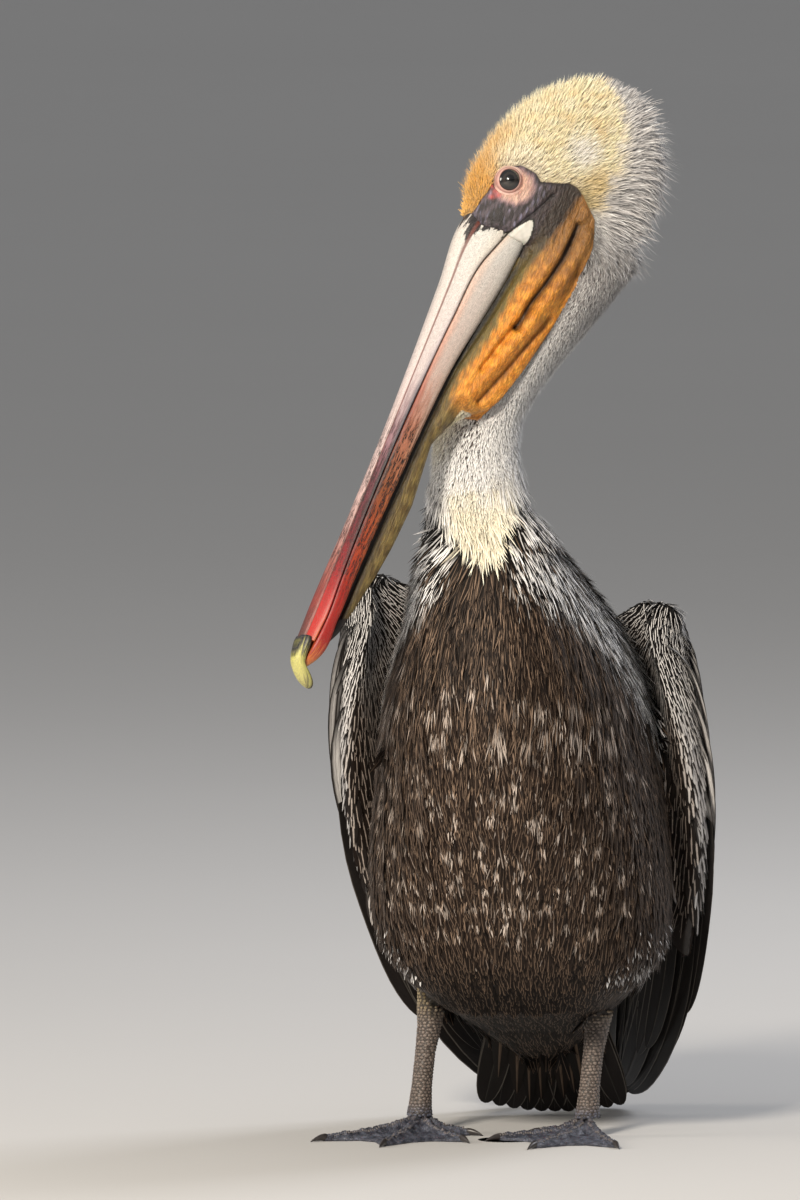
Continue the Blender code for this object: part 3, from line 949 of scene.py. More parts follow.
@dataclass
class Skin:
    """One closed skin under coat, face, pouch, legs and feet, made from the flesh solids.

    Fields are in millimetres. The skin is rebuilt on a fine grid, thinned where feathers hide it,
    drawn in by the coat's depth, and folded where it is bare.
    """

    nodes: tuple = (
        "trunk", "neck_lower", "neck_upper", "head", "pouch", "wing_left", "wing_right",
        "leg_left", "leg_right", "foot_left", "foot_right",
    )
    overlap: float = 0.35
    grid: float = 1.35
    hidden_share: float = 0.30

    def build(self, frame: dict) -> bpy.types.Object:
        """Makes the skin's mesh, without its material.

        Args:
            frame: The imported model.

        Returns:
            The skin.
        """
        copies = [self._copy(frame["nodes"][node]) for node in self.nodes]
        self.tree, self.owners = self._owner_tree(copies)
        bpy.ops.object.select_all(action="DESELECT")
        for copy in copies:
            copy.select_set(True)
        bpy.context.view_layer.objects.active = copies[0]
        bpy.ops.object.join()
        skin = bpy.context.view_layer.objects.active
        skin.name = "skin"
        self._rebuild(skin)
        self._keep_largest(skin)
        self._refine_bare(skin)
        self._draw_in(skin)
        return skin

    def _copy(self, node: bpy.types.Object) -> bpy.types.Object:
        """A merged copy of a solid, grown a little so that neighbours overlap.

        Args:
            node: The solid.

        Returns:
            The copy.
        """
        mesh = node.data.copy()
        mesh.materials.clear()
        with edited(mesh) as shape:
            bmesh.ops.remove_doubles(shape, verts=shape.verts, dist=1e-6)
            shape.normal_update()
            for vertex in shape.verts:
                vertex.co += vertex.normal * self.overlap * MM
        copy = bpy.data.objects.new(f"flesh_{node.name}", mesh)
        bpy.context.scene.collection.objects.link(copy)
        return copy

    def _owner_tree(self, copies: list) -> tuple:
        """A search tree over all the solids, and each face's solid.

        Args:
            copies: The solids' copies.

        Returns:
            The tree, and one number for each face.
        """
        corners, faces, owners = [], [], []
        for number, copy in enumerate(copies):
            start = len(corners)
            corners += [vertex.co.copy() for vertex in copy.data.vertices]
            faces += [[start + v for v in face.vertices] for face in copy.data.polygons]
            owners += [number] * len(copy.data.polygons)
        return BVHTree.FromPolygons(corners, faces), np.array(owners)

    def _apply(self, skin: bpy.types.Object, kind: str, **settings: object) -> None:
        """Adds a modifier with its settings and applies it.

        Args:
            skin: The skin's object.
            kind: Blender's name for the modifier.
            **settings: Its attributes.
        """
        modifier = skin.modifiers.new(kind.lower(), kind)
        for name, value in settings.items():
            setattr(modifier, name, value)
        bpy.ops.object.modifier_apply(modifier=modifier.name)

    def _rebuild(self, skin: bpy.types.Object) -> None:
        """Rebuilds the surface as one, smooths it, and thins it where feathers hide it.

        Args:
            skin: The skin's object.
        """
        self._apply(skin, "REMESH", mode="VOXEL", voxel_size=self.grid * MM, adaptivity=0.0)
        points = points_of(skin.data)
        firm = step(points[:, 2], 100, 80) > 0.5
        hidden = ~(firm | (bareness(points) > -4))
        for name, members, weight in (("soft", ~firm, 1.0), ("soft", firm, 0.15), ("hidden", hidden, 1.0)):
            group = skin.vertex_groups.get(name) or skin.vertex_groups.new(name=name)
            group.add(np.flatnonzero(members).tolist(), weight, "REPLACE")
        self._apply(skin, "SMOOTH", factor=0.5, iterations=16, vertex_group="soft")
        thinning = {"ratio": self.hidden_share, "vertex_group": "hidden", "vertex_group_factor": 1.0}
        self._apply(skin, "DECIMATE", **thinning)

    def _keep_largest(self, skin: bpy.types.Object) -> None:
        """Drops specks left inside by the rebuild.

        Args:
            skin: The skin's object.
        """
        with edited(skin.data) as shape:
            left = set(shape.verts)
            islands = []
            while left:
                edge = [left.pop()]
                island = list(edge)
                while edge:
                    vertex = edge.pop()
                    others = {link.other_vert(vertex) for link in vertex.link_edges} & left
                    left -= others
                    edge += others
                    island += others
                islands.append(island)
            for island in sorted(islands, key=len)[:-1]:
                bmesh.ops.delete(shape, geom=island, context="VERTS")

    def _refine_bare(self, skin: bpy.types.Object) -> None:
        """Halves the faces of the bare face and pouch.

        Args:
            skin: The skin's object.
        """
        bare = bareness(points_of(skin.data)) > -1.5
        with edited(skin.data) as shape:
            edges = [edge for edge in shape.edges if all(bare[vertex.index] for vertex in edge.verts)]
            bmesh.ops.subdivide_edges(shape, edges=edges, cuts=1, use_grid_fill=True)
            bmesh.ops.triangulate(shape, faces=shape.faces)

    def _draw_in(self, skin: bpy.types.Object) -> None:
        """Draws the surface in by the coat's depth and folds the bare parts.

        Args:
            skin: The skin's object.
        """
        points, normals = points_of(skin.data), normals_of(skin.data)
        owner = np.array([self.owners[self.tree.find_nearest(Vector(p * MM))[2]] for p in points])
        self.names = names = np.array(self.nodes)[owner]
        self.bare = bare = bareness(points)
        along, left, above = HEAD.local(points).T
        plain = [names == "trunk", names == "neck_lower", names == "neck_upper"]
        depth = np.select(plain, [6.0, 3.0, 2.4], 0.2)
        depth = np.where(begins(names, "wing"), 2.6, depth)
        depth = np.where(names == "head", 2.0 + 3.5 * step(above, -70, -110), depth)
        depth = np.where(begins(names, "leg") & (points[:, 2] > 104), 2.5, depth)
        depth = np.where(bare > 0, 0.1, np.where(bare > -3, np.minimum(depth, 0.1 - 0.6 * bare), depth))
        feet = begins(names, "foot")
        depth = np.where(feet, 0.1, depth)
        relief = FOLDS.height(points, normals) * step(bare, -1, 2)
        webs = 0.5 * ripple(points, 8, 51) + 0.3 * ripple(points, 3.5, 52)
        relief = np.where(feet & (normals[:, 2] > 0.2), webs, relief)
        moved = points + normals * (relief - depth)[:, None]
        moved[:, 2] = np.maximum(moved[:, 2], 0.0)
        moved -= (np.sign(left) * self._socket(along, above) * (np.abs(left) > 15))[:, None] * HEAD.axes()[1]
        set_points(skin.data, moved)
        skin.data.update()

    @staticmethod
    def _socket(along: np.ndarray, above: np.ndarray) -> np.ndarray:
        """How far the skin is drawn in round the eyes, where lids cover it."""
        return 4.5 * step(np.hypot(along + 32, above + 13.3), 11.0, 7.0)


@dataclass(frozen=True)
class Folds:
    """Ridges and grooves of the pouch and face, as bent lines in the head's frame seen from its side.

    Each row is a line, how far the skin rises along it, and its half width, in millimetres.
    """

    lines: tuple = (
        (((-32, -70), (-2, -62), (27, -55), (64, -47), (103, -37.4), (140, -30)), 1.6, 3.0),
        (((-21, -68.4), (5, -66.8), (24, -62.6), (41, -57.5), (60, -54.5)), -4.5, 2.6),
        (((-18, -77), (2, -75.5), (24, -70.4), (44, -64), (53, -57)), 2.6, 4.2),
        (((51, -64), (67, -57.7), (92, -49.5), (116, -40.9)), 3.4, 4.6),
        (((60, -53), (72, -49), (95, -42.5)), -2.5, 2.0),
        (((44, -76), (66, -68.2), (91, -60), (115, -51)), -3.4, 2.4),
        (((45, -83), (67, -76.8), (95, -69.5), (115, -60.8)), 1.8, 3.4),
        (((-33, -43), (-17, -35.7), (-8, -30.3), (8, -26)), -1.4, 1.3),
        (((8, -44), (59, -35), (100, -26), (146, -21.5), (185, -18.5), (300, -9)), -2.2, 1.6),
    )
    wrinkle: float = 0.18

    def height(self, points: np.ndarray, normals: np.ndarray) -> np.ndarray:
        """How far the bare skin rises at each point.

        Args:
            points: World places.
            normals: The skin's normals there.

        Returns:
            Heights in millimetres, which are negative in the grooves.
        """
        local = HEAD.local(points)
        flat = local[:, (0, 2)]
        sideways = np.abs(normals @ HEAD.axes()[1])
        total = np.zeros(len(points))
        for line, rise, half in self.lines:
            total += rise * np.exp(-((line_distance(flat, line) / half) ** 2))
        total *= step(sideways, 0.15, 0.6)
        pouch = step(local[:, 2], -36, -44) * step(local[:, 0], -46, -38)
        bent = local + 1.5 * ripple(local, 20, 33)[:, None]
        folds = np.abs(ripple(bent * (0.10, 1, 1), 3.0, 31))
        folds = folds + 0.5 * np.abs(ripple(bent * (0.16, 1, 1), 1.7, 32))
        pits = ripple(local, 2.0, 34)
        face = (1 - pouch) * step(local[:, 0], 4, -2)
        return total - self.wrinkle * (1.5 * folds - 0.35 * pits) * (pouch + 0.35 * face)


FOLDS = Folds()
# Grooves among the folds that also get painted shadow, by their row.
SLIT, LOWER_SLIT, CREASE, JAW_LINE = 1, 5, 7, 8


def hide_colours(points: np.ndarray, names: np.ndarray, bare: np.ndarray) -> np.ndarray:
    """Colours of the skin: markings under the coat, and the bare face, pouch, legs and feet.

    Args:
        points: World places.
        names: The flesh solid at each place.
        bare: Distance in from the edge of the bare skin.

    Returns:
        One linear colour for each place.
    """
    luck = np.random.default_rng(3).random(len(points))
    high = (points[:, 2] > collar_height(points))[:, None]
    colour = np.where(high, head_marks(points, luck).vane, body_marks(points, luck).vane * 0.8)
    shank = blend("4C443F", "8C7A55", np.exp(-(((points[:, 2] - 98) / 12) ** 2)) * 0.3)
    toes = blend("393B47", "5E616E", step(ripple(points, 6, 53), -1, 1.2))
    shank = blend(shank, toes, step(points[:, 2], 18, 8))
    colour = np.where(begins(names, "leg", "foot")[:, None], shank, colour)
    along, _, above = HEAD.local(points).T
    flat = np.stack((along, above), axis=1)
    wander = ripple(points, 9, 12)
    grain = ripple(HEAD.local(points) * (0.14, 1, 1), 1.9, 14)
    olive = blend("3A3029", "786733", step(along + 2 * wander, -14, 34))
    border = np.interp(along, (-40, 3, 35, 74, 107, 140), (-62, -52, -45.5, -40, -31.5, -30))
    orange = blend("DD8A26", "F2A43A", step(wander + 0.4 * grain, -0.8, 1.2))
    orange = blend(orange, "8A6232", step(along + 4 * wander, 60, -16) * 0.92)
    orange = blend(orange, "7A5220", step(grain, 0.2, 1.4) * 0.3)
    pouch = blend(olive, orange, step(above - border + 1.2 * grain, 3.5, -3.0))
    pouch = blend(pouch, blend("84703F", "67532C", step(grain, -0.6, 1.0)), step(along, 112, 135))
    slit, lower_slit, crease, jaw_line = (
        line_distance(flat, FOLDS.lines[row][0]) for row in (SLIT, LOWER_SLIT, CREASE, JAW_LINE)
    )
    # Painted shadow in the pouch's two deep slits.
    groove = np.maximum(np.exp(-((slit / 2.4) ** 2)), np.exp(-((lower_slit / 1.8) ** 2)) * 0.6)
    pouch = blend(pouch, "1E110A", 0.95 * groove)
    # Painted shadow in the narrow gap between the lower jaw and the pouch.
    gap = jaw_line / np.interp(along, (10, 60, 150, 300), (1.9, 2.7, 4.0, 4.4))
    pouch = blend(pouch, "0C0907", np.exp(-(gap**2)) * step(along, 2, 30))
    face = blend("5A5058", "2A2224", step(grain, -0.9, 0.8))
    # Pale lilac streaks along the bill: partly the bare skin's own bluish tint, partly painted sheen.
    lilac_tint_and_sheen = step(ripple(HEAD.local(points) * (0.3, 1, 1), 2.2, 15), 0.4, 1.5) * 0.55
    face = blend(face, "8F8CA6", lilac_tint_and_sheen)
    face = blend(face, "17130F", np.exp(-(((along + 6) / 8) ** 2 + ((above + 15) / 6) ** 2)) * 0.9)
    face = blend(face, "3D3230", step(above, -32, -42) * 0.85)
    socket = np.hypot((along + 29) / 13.5, (above + 17.5) / 13.0) + 0.05 * grain
    face = blend(face, "8C7176", step(socket, 1.12, 0.84))
    face = blend(face, "D3AE9C", step(socket, 0.96, 0.62))
    face = blend(face, "B98A80", step(socket, 1.05, 0.8) * step(grain, 0.1, 1.2) * 0.6)
    for spot in ((-25.2, -4.6), (-18, -6.8), (-20, -10), (-22, -7.5)):
        near_spot = np.exp(-((np.hypot(along - spot[0], above - spot[1]) / 1.7) ** 2))
        face = blend(face, "C0504A", near_spot * 0.75)
    # Painted shadow along the face's crease.
    face = blend(face, "120E0E", np.exp(-((crease / 1.0) ** 2)) * 0.9)
    face = blend(face, "1E1719", step(-bare, -1.8, -0.4) * step(above, -20, -30) * 0.8)
    jaw = step(above - 0.28 * along, -36, -40)
    skin_tone = blend(face, pouch, jaw * step(above, -41, -46))
    skin_tone = np.where((along > 12)[:, None], pouch, skin_tone)
    plate = inside(flat, PLATE_ROOT)
    rim = step(line_distance(flat, PLATE_ROOT + PLATE_ROOT[:1]), 2.2, 0.8) * ~plate * (along < 12)
    skin_tone = blend(skin_tone, "1E1A19", rim * 0.9)
    horn = blend("D3D1CA", "C8C6BE", step(grain, -0.8, 0.8))
    skin_tone = np.where(plate[:, None], horn, skin_tone)
    return blend(colour, skin_tone, step(bare, -1.8, -0.5))


def dress_skin(piece: bpy.types.Object, skin: Skin) -> None:
    """Paints the skin and gives it its finish.

    Args:
        piece: The skin.
        skin: Its maker.
    """
    points = points_of(piece.data)
    kind = np.where(begins(skin.names, "leg", "foot"), 1.0, np.where(skin.bare > 0, 0.5, 0.0))
    horny = inside(HEAD.local(points)[:, (0, 2)], PLATE_ROOT) & (skin.bare > 0)
    kind = np.where(horny, 0.25, kind)
    paint(piece.data, "hide", hide_colours(points, skin.names, skin.bare), kind)
    piece.data.materials.append(SkinFinish().make())
    piece.data.shade_smooth()
    kept(piece, "pouch_skin", *skin.nodes)


@dataclass(frozen=True)
class SkinFinish:
    """Living skin: leathery, finely wrinkled along the bill, with raised cells on legs and feet."""

    name: str = "bare skin"
    wrinkle_mm: float = 0.75
    pebble_mm: float = 0.9
    cell_mm: float = 2.2

    def make(self) -> bpy.types.Material:
        """Builds the material.

        Returns:
            The material.
        """
        material, tree = new_material(self.name)
        hide = add_node(tree, "Attribute", attribute_name="hide").outputs
        place = add_node(tree, "TexCoord").outputs["Object"]
        angles = Matrix(np.linalg.inv(HEAD.axes().T).tolist()).to_euler()
        along = add_node(tree, "Mapping", {"Vector": place, "Rotation": angles}).outputs[0]
        stretch = add_node(tree, "Mapping", {"Vector": along, "Scale": (0.13, 1.0, 1.0)}).outputs[0]
        lines = noise_at(tree, stretch, 1 / (self.wrinkle_mm * MM), 4.0)
        cells, pebbles = (self._edges(tree, place, size) for size in (self.cell_mm, self.pebble_mm))
        soft = maths(tree, "MULTIPLY", ranged(tree, lines, 0.3, 0.7), 0.7)
        lines = maths(tree, "MULTIPLY_ADD", ranged(tree, pebbles, 0.0, 0.5), 0.3, soft)
        on_legs = {0: ranged(tree, hide["Alpha"], 0.7, 0.9), 2: lines, 3: ranged(tree, cells, 0.02, 0.16)}
        height = add_node(tree, "Mix", on_legs, data_type="FLOAT").outputs[0]
        off_plate = {0: ranged(tree, hide["Alpha"], 0.3, 0.45), 2: 0.62, 3: height}
        height = add_node(tree, "Mix", off_plate, data_type="FLOAT").outputs[0]
        # Painted shade and light from the relief: darker in wrinkles, pits and cell edges, lighter where the
        # skin stands up.
        colour = shaded(tree, hide["Color"], ranged(tree, height, 0.1, 0.8, 0.62, 1.12))
        values = {"Roughness": 0.5, "Subsurface Weight": 0.08, "Subsurface Scale": 0.002}
        wire(tree, colour, values, (height, 0.6, 0.6))
        return material

    @staticmethod
    def _edges(
        tree: bpy.types.NodeTree, place: bpy.types.NodeSocket, size: float
    ) -> bpy.types.NodeSocket:
        """Distance to the edges of raised cells whose size is in millimetres."""
        inputs = {"Vector": place, "Scale": 1 / (size * MM)}
        return add_node(tree, "TexVoronoi", inputs, feature="DISTANCE_TO_EDGE").outputs[0]


# ------------------------------------------------------------------ feathers


@dataclass(frozen=True)
class Cut:
    """Outline of one kind of feather.

    Shares are of its length along it and of its half width across it.
    """

    rows: int = 4
    strand: bool = False
    base: float = 0.45
    widest: float = 0.4
    point: float = 1.3
    keel: float = 0.20
    bend: float = 0.06
    round: float = 1.0

    def profile(self, t: np.ndarray) -> np.ndarray:
        """Half width at places along the feather.

        Args:
            t: Shares of its length.

        Returns:
            Shares of the full half width.
        """
        rise = self.base + (1 - self.base) * np.sin(np.clip(t / self.widest, 0, 1) * math.pi / 2)
        fall = np.clip((t - self.widest) / (1 - self.widest), 0, 1)
        return rise * (1 - fall**self.point) ** self.round

    def template(self) -> tuple:
        """Places along and across one feather, and its quads and triangles.

        Returns:
            Places along, places across, quads and triangles.
        """
        lanes = np.array((-1.0, 1.0) if self.strand else (-1.0, 0.0, 1.0))
        t = np.linspace(0, 1, self.rows + 1)[:-1]
        along = np.append(np.repeat(t, len(lanes)), 1.0)
        across = np.append(np.tile(lanes, self.rows), 0.0)
        quads = grid_faces(self.rows, len(lanes), False)
        last = (self.rows - 1) * len(lanes)
        tips = [[last + k, last + k + 1, len(along) - 1] for k in range(len(lanes) - 1)]
        return along, across, quads, np.array(tips)


@dataclass
class Plumes:
    """Many feathers of one kind, one row for each, in millimetres and radians."""

    root: np.ndarray
    up: np.ndarray
    lie: np.ndarray
    length: np.ndarray
    width: np.ndarray
    lift: np.ndarray
    marks: Marks
    patch: np.ndarray

    def build(self, name: str, cut: Cut, finish: bpy.types.Material) -> bpy.types.Object:
        """Makes all the feathers as one mesh.

        Args:
            name: The piece's name.
            cut: Outline of each feather.
            finish: Their material.

        Returns:
            The piece.
        """
        along, across, quads, tips = cut.template()
        count, size = len(self.root), len(along)
        side = unit(np.cross(self.lie, self.up))
        half = self.width[:, None] * 0.5 * cut.profile(along)
        rise = self.length[:, None] * (np.sin(self.lift)[:, None] * along - cut.bend * along**2)
        rise = rise - np.abs(across) * half * cut.keel
        reach = self.length[:, None] * np.cos(self.lift)[:, None] * along
        points = (
            self.root[:, None]
            + self.lie[:, None] * reach[..., None]
            + self.up[:, None] * rise[..., None]
            + side[:, None] * (half * across)[..., None]
        )
        made = mesh_object(name, points, copied_faces((quads, tips), count, size), finish)
        own = np.stack((0.5 + 0.5 * across, along), axis=1)
        patch = self.patch[:, None] + (own[None] - 0.5) * PATCH
        dress_feathers(made.data, self.marks, np.tile(own, (count, 1)), patch)
        return made


def dress_feathers(mesh: bpy.types.Mesh, marks: Marks, own: np.ndarray, patch: np.ndarray) -> None:
    """Stores colours and maps on a mesh of many equal feathers.

    Args:
        mesh: The mesh.
        marks: One row of colours for each feather.
        own: Each point's place on its feather: across, and along.
        patch: Each point's place on the baked map.
    """
    count = len(marks.vane)
    size = len(mesh.vertices) // count
    luck = np.random.default_rng(count).random(count) * 40
    paint(mesh, "vane", np.repeat(marks.vane, size, axis=0), np.repeat(marks.width, size))
    paint(mesh, "streak", np.repeat(marks.streak, size, axis=0), np.repeat(luck, size))
    lay_map(mesh, "OFBake", patch.reshape(-1, 2))
    lay_map(mesh, "Vane", own.reshape(-1, 2))


class Ground:
    """The skin as the ground in which feathers root."""

    def __init__(self, skin: Skin, piece: bpy.types.Object) -> None:
        """Reads the skin's triangles and what lies where.

        Args:
            skin: Its maker.
            piece: Its object.
        """
        self.points, self.normals = points_of(piece.data), normals_of(piece.data)
        piece.data.calc_loop_triangles()
        corners = np.empty(len(piece.data.loop_triangles) * 3, np.int32)
        piece.data.loop_triangles.foreach_get("vertices", corners)
        self.triangles = corners.reshape(-1, 3)
        self.names, self.bare = skin.names, skin.bare
        spans = self.points[self.triangles]
        crossed = np.cross(spans[:, 1] - spans[:, 0], spans[:, 2] - spans[:, 0])
        self.areas = np.linalg.norm(crossed, axis=1) / 2
        places = [Vector(p) for p in self.points]
        self.tree = BVHTree.FromPolygons(places, self.triangles.tolist(), all_triangles=True)

    def scatter(self, chosen: np.ndarray, spacing: float, seed: int) -> tuple:
        """Roots spread evenly over part of the skin.

        Args:
            chosen: Whether each of the skin's points belongs.
            spacing: Rough distance between roots in millimetres.
            seed: Seed of the draw.

        Returns:
            Places, outward directions, and one random number from 0 to 1 for each.
        """
        # draws for each cell, so that few stay empty, and a number that cells along an axis stay under
        tries, most = 2.6, 4001
        dice = np.random.default_rng(seed)
        picked = np.flatnonzero(chosen[self.triangles].all(axis=1))
        areas = self.areas[picked]
        count = int(areas.sum() / spacing**2 * tries)
        faces = self.triangles[dice.choice(picked, count, p=areas / areas.sum())]
        first, second = dice.random(count), dice.random(count)
        over = first + second > 1
        first[over], second[over] = 1 - first[over], 1 - second[over]
        shares = np.stack((1 - first - second, first, second), axis=1)
        roots = np.einsum("ij,ijk->ik", shares, self.points[faces])
        ups = unit(np.einsum("ij,ijk->ik", shares, self.normals[faces]))
        cells = np.floor(roots / spacing + dice.random(3)).astype(np.int64)
        keys = (cells[:, 0] * most + cells[:, 1]) * most + cells[:, 2]
        first_in_cell = np.unique(keys, return_index=True)[1]
        return roots[first_in_cell], ups[first_in_cell], dice.random(len(first_in_cell))

    def open_to_air(self, roots: np.ndarray, ups: np.ndarray, room: float) -> np.ndarray:
        """Whether nothing else of the bird lies close above each root.

        Args:
            roots: Places on the skin.
            ups: Outward directions.
            room: Room that has to be free, in millimetres.

        Returns:
            True where it is free.
        """
        hits = [self.tree.ray_cast(Vector(r + 1.5 * u), Vector(u), room)[0] for r, u in zip(roots, ups)]
        return np.array([hit is None for hit in hits], bool)


def around_column(points: np.ndarray) -> np.ndarray:
    """Places of roots on the skin, unrolled round the column from the middle of the back."""
    turn = turn_round(points) / math.tau + 0.5
    return fitted(np.stack((turn * 0.9, points[:, 2] / 500), axis=1))


def fitted(places: np.ndarray) -> np.ndarray:
    """Places spread to fill a unit square with a small margin."""
    low, high = places.min(axis=0), places.max(axis=0)
    return 0.005 + 0.99 * (places - low) / np.maximum(high - low, 1e-6)


def clumped(lie: np.ndarray, up: np.ndarray, root: np.ndarray, locks: tuple, seed: int) -> np.ndarray:
    """Directions that lean together, so that neighbours gather into locks.

    Args:
        lie: Unit directions.
        up: Outward directions.
        root: Places of the roots.
        locks: Size of a lock in millimetres, and how strongly it gathers.
        seed: Seed of the locks' centres.

    Returns:
        New unit directions.
    """
    size, pull = locks
    dice = np.random.default_rng(seed)
    ahead = root + lie * size
    cells = np.floor(ahead / size).astype(np.int64)
    which = np.unique(cells, axis=0, return_inverse=True)[1].reshape(-1)
    centres = (cells + 0.2 + 0.6 * dice.random((which.max() + 1, 3))[which]) * size
    return flatten_onto(lie + pull * (centres - ahead) / size, up)


def turned(lie: np.ndarray, up: np.ndarray, angle: np.ndarray) -> np.ndarray:
    """Directions turned about the outward directions by angles in radians."""
    return lie * np.cos(angle)[:, None] + np.cross(up, lie) * np.sin(angle)[:, None]


@dataclass
class Layer:
    """One piece of the coat: where its feathers root, their shape, and how they stand.

    Spacing, lengths and width are in millimetres, the least and greatest lift off the skin in
    degrees. Locks are the size and pull of the clumps that the feathers gather into.
    """

    name: str
    chosen: np.ndarray
    spacing: float
    length: tuple
    width: float
    lift: tuple
    cut: Cut
    finish: bpy.types.Material
    seed: int
    locks: tuple = (14, 0.25)
    marks: Callable = body_marks


@dataclass
class Coat:
    """The plush and the contour feathers that root in the skin."""

    ground: Ground

    def head_lie(self, root: np.ndarray, up: np.ndarray) -> np.ndarray:
        """Lie of the plush: back from the bill, over the crown, and down the neck.

        Args:
            root: Roots of the feathers.
            up: Outward directions there.

        Returns:
            Unit directions.
        """
        away = unit(root - HEAD.world(16, 0, -4))
        down = unit(column_at(root[:, 2] - 5) - column_at(root[:, 2] + 5))
        above = HEAD.local(root)[:, 2]
        share = np.maximum(step(root[:, 2], 662, 618), 0.8 * step(above, -72, -118))[:, None]
        return flatten_onto(away * (1 - share) + down * share, up)

    def body_lie(self, root: np.ndarray, up: np.ndarray) -> np.ndarray:
        """Lie of the contour feathers: fanned out from the neck's base, then down to the tail.

        Args:
            root: Roots of the feathers.
            up: Outward directions there.

        Returns:
            Unit directions.
        """
        middle = column_at(root[:, 2])
        spread = 1.0 + 0.9 * step(root[:, 2], 280, 340)
        fan = ((root[:, 0] - 11) * spread, 0.7 * (root[:, 1] - middle[:, 1]), root[:, 2] - 478)
        fan = unit(np.stack(fan, axis=1))
        down = np.zeros_like(root)
        down[:, 1] = 0.75 * step(root[:, 2], 150, 70)
        down[:, 2] = -1
        share = (0.35 + 0.65 * step(root[:, 2], 230, 340))[:, None]
        return flatten_onto(fan * share + down * (1 - share), up)

    def _sown(self, layer: Layer, room: float, lie_of: Callable, sway: float) -> tuple:
        """Draws where a layer's feathers root and how they lie.

        Args:
            layer: The layer.
            room: Room in millimetres that has to be free above each root.
            lie_of: Gives the lie from roots and outward directions.
            sway: How much single feathers turn aside, in radians.

        Returns:
            Roots, outward directions, lies, angles off the skin, one random number for each, and the
            dice for what is still to be drawn.
        """
        root, up, luck = self.ground.scatter(layer.chosen, layer.spacing, layer.seed)
        if room:
            free = self.ground.open_to_air(root, up, room)
            root, up, luck = root[free], up[free], luck[free]
        dice = np.random.default_rng(layer.seed + 1)
        lie = clumped(lie_of(root, up), up, root, layer.locks, layer.seed + 2)
        lie = turned(lie, up, dice.normal(0, sway, len(root)))
        angle = np.radians(between(layer.lift, dice.random(len(root))))
        return root, up, lie, angle, luck, dice

    def plush(self, layer: Layer) -> None:
        """Makes one piece of the soft coat on head and neck.

        Args:
            layer: Where and how.
        """
        root, up, lie, angle, luck, dice = self._sown(layer, 0, self.head_lie, 0.14)
        length = between(layer.length, luck) * (0.5 + 0.5 * step(-bareness(root), 0.3, 5))
        width = layer.width * (0.8 + 0.4 * dice.random(len(root)))
        marks = head_marks(root, luck)
        plumes = Plumes(root, up, lie, length, width, angle, marks, around_column(root))
        slot = "straw_plumage" if layer.name.startswith("head") else "white_plumage"
        kept(plumes.build(layer.name, layer.cut, layer.finish), slot)

    def contour(self, layer: Layer) -> None:
        """Makes one piece of the feathers of breast, belly and back.

        Args:
            layer: Where and how.
        """
        root, up, lie, angle, luck, dice = self._sown(layer, 4, self.body_lie, 0.10)
        marks = layer.marks(root, luck)
        pale = step(marks.vane.mean(axis=1), 0.08, 0.35)
        angle = angle + 0.07 * pale
        width = layer.width * (1 + 0.25 * pale) * (0.75 + 0.5 * dice.random(len(root)))
        length = between(layer.length, dice.random(len(root)))
        length = length * (1 - 0.45 * step(root[:, 2], 150, 118) * step(root[:, 1], 70, 30))
        plumes = Plumes(root, up, lie, length, width, angle, marks, around_column(root))
        kept(plumes.build(layer.name, layer.cut, layer.finish), "brown_plumage")

    def build(self) -> None:
        """Makes every piece of the coat that roots in the skin."""
        points, names, bare = self.ground.points, self.ground.names, self.ground.bare
        above, z = HEAD.local(points)[:, 2], points[:, 2]
        feathered = bare < -0.3
        collar = collar_height(points)
        head = (names == "head") & feathered
        neck = np.isin(names, ("neck_lower", "neck_upper", "trunk", "pouch")) & feathered & (z > collar)
        trunk = np.isin(names, ("trunk", "neck_lower")) & feathered & (z <= collar)
        down = {"streak_from": 0.3, "roughness": 0.75, "sheen": 0.25, "ribs": 5}
        soft = Vanes("down-soft plush feathers", **down, root_tone=0.55, tip_tone=1.12).make()
        firm = Vanes("contour feathers", 0.08, roughness=0.65, sheen=0.03, root_tone=0.5).make()
        thin = {"roughness": 0.6, "sheen": 0.03, "ribs": 5}
        hair = Vanes("fine feather tips", 0.2, **thin, root_tone=0.4, tip_tone=1.15).make()
        strand = Cut(rows=2, strand=True, base=0.9, widest=0.2, point=1.4, bend=0.10)
        blade = Cut(rows=3, strand=True, base=0.55, widest=0.5, point=1.6, bend=0.07)
        leaf = Cut(rows=3, base=0.45, widest=0.5, point=1.8, keel=0.2, bend=0.08)
        tufts = head & (bare < -0.8) & (above > -72)
        border = neck & (z < collar + 26)
